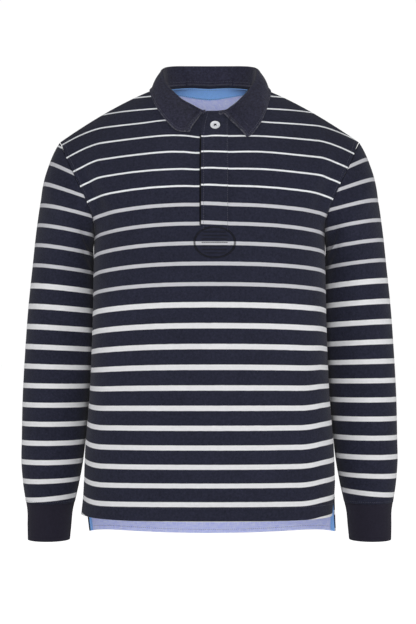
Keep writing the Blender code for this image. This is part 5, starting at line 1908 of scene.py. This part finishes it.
def sew_armholes():
    """A topstitch on the body side of each armhole."""
    up = np.linspace(*ARMHOLE_STITCH_UP, 200)
    for panel in ("front", "back"):
        for edge in (-ARMHOLE_STITCH_ACROSS, ARMHOLE_STITCH_ACROSS):
            sew(*along_panel(panel, edge, up))


def sew_sleeves():
    """A row above each cuff seam."""
    around = np.linspace(0.0, 1.0, 300)
    place = np.array([CUFF_STITCH_ALONG])
    points = sleeve_surface(around, place)[0]
    normals = tube_normal(sleeve_form, around, place)[0]
    for mirror in (1.0, -1.0):
        flip = np.array((mirror, 1.0, 1.0))
        sew(points * flip, normals * flip)


def read_at(distance, values, at):
    """A point or a normal on each line of a grid, at one distance along it."""
    return np.array([read_line(at, line, values[i]) for i, line in enumerate(distance)])


def sew_collar():
    """Topstitching round the leaf, a line along the stand on the neck side and ticks below it."""
    normal = smooth_normals(collar)
    up_the_fall = lengths_along(collar[::-1], 0).T
    edge = slice(3, -3)
    sew(read_at(up_the_fall, collar[::-1].transpose(1, 0, 2), TOPSTITCH_IN)[edge],
        read_at(up_the_fall, normal[::-1].transpose(1, 0, 2), TOPSTITCH_IN)[edge])
    fall = slice(STAND_STEPS + ROLL_STEPS, -STITCH_ROWS_UP)
    for way in (1, -1):
        sheet = collar[fall, ::way]
        from_end = lengths_along(sheet, 1)
        sew(read_at(from_end, sheet, TOPSTITCH_IN), read_at(from_end, normal[fall, ::way], TOPSTITCH_IN))
    sew(collar[STAND_STITCH_ROW], normal[STAND_STITCH_ROW])
    for column in range(*STAND_TICKS):
        sew(collar[0:2, column], normal[0:2, column], gap=TICK_GAP, half=TICK_THREAD)


def sew_inside():
    """Both edges of the neck tape and of the hem facing."""
    across = np.linspace(-TAPE_STITCH_ACROSS, TAPE_STITCH_ACROSS, 160)
    for drop in TAPE_STITCH_DROPS:
        points, normals = along_panel("back", across, neck_up("back", across) - drop, NECK_TAPE_LIFT - TAPE)
        sew(points, -normals)
    across = np.linspace(-FACING_STITCH_ACROSS, FACING_STITCH_ACROSS, 300)
    for up in FACING_STITCH_UPS:
        points, normals = along_panel("back", across, up, HEM_LIFT - TAPE)
        sew(points, -normals)


def sew_button():
    """Two crossed pairs of thread bars through the four holes."""
    seat, turn = button_seat()
    spin = mathutils.Euler(turn).to_matrix()
    out = spin @ mathutils.Vector((0.0, 0.0, 1.0))
    top = mathutils.Vector((0.0, 0.0, BUTTON_THREAD_UP * BUTTON_THICKNESS))
    reach = BUTTON_HOLE_SPREAD + BUTTON_THREAD_PAST
    for angle in (45, 135):
        way = mathutils.Vector((math.cos(math.radians(angle)), math.sin(math.radians(angle)), 0.0))
        for aside in (-BUTTON_THREAD_APART, BUTTON_THREAD_APART):
            side = mathutils.Vector((-way.y, way.x, 0.0)) * aside
            ends = [mathutils.Vector(seat) + spin @ (way * part + side + top)
                    for part in (-reach, 0.0, reach)]
            sew([tuple(end) for end in ends], [tuple(out)] * 3, length=2 * reach, gap=0.0,
                half=BUTTON_THREAD, into=dark_parts)


sew_placket()
sew_button()
sew_hems()
sew_armholes()
sew_sleeves()
sew_collar()
sew_inside()
threads_from("seam_threads", stitch_parts, thread)
threads_from("oval_threads", dark_parts, dark_thread)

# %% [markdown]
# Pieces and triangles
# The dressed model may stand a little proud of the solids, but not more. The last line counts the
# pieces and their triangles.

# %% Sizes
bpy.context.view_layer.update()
triangles = sum(len(face.vertices) - 2
                for piece in made_pieces.values() for face in piece.data.polygons)
print(len(made_pieces), "pieces,", triangles, "triangles")
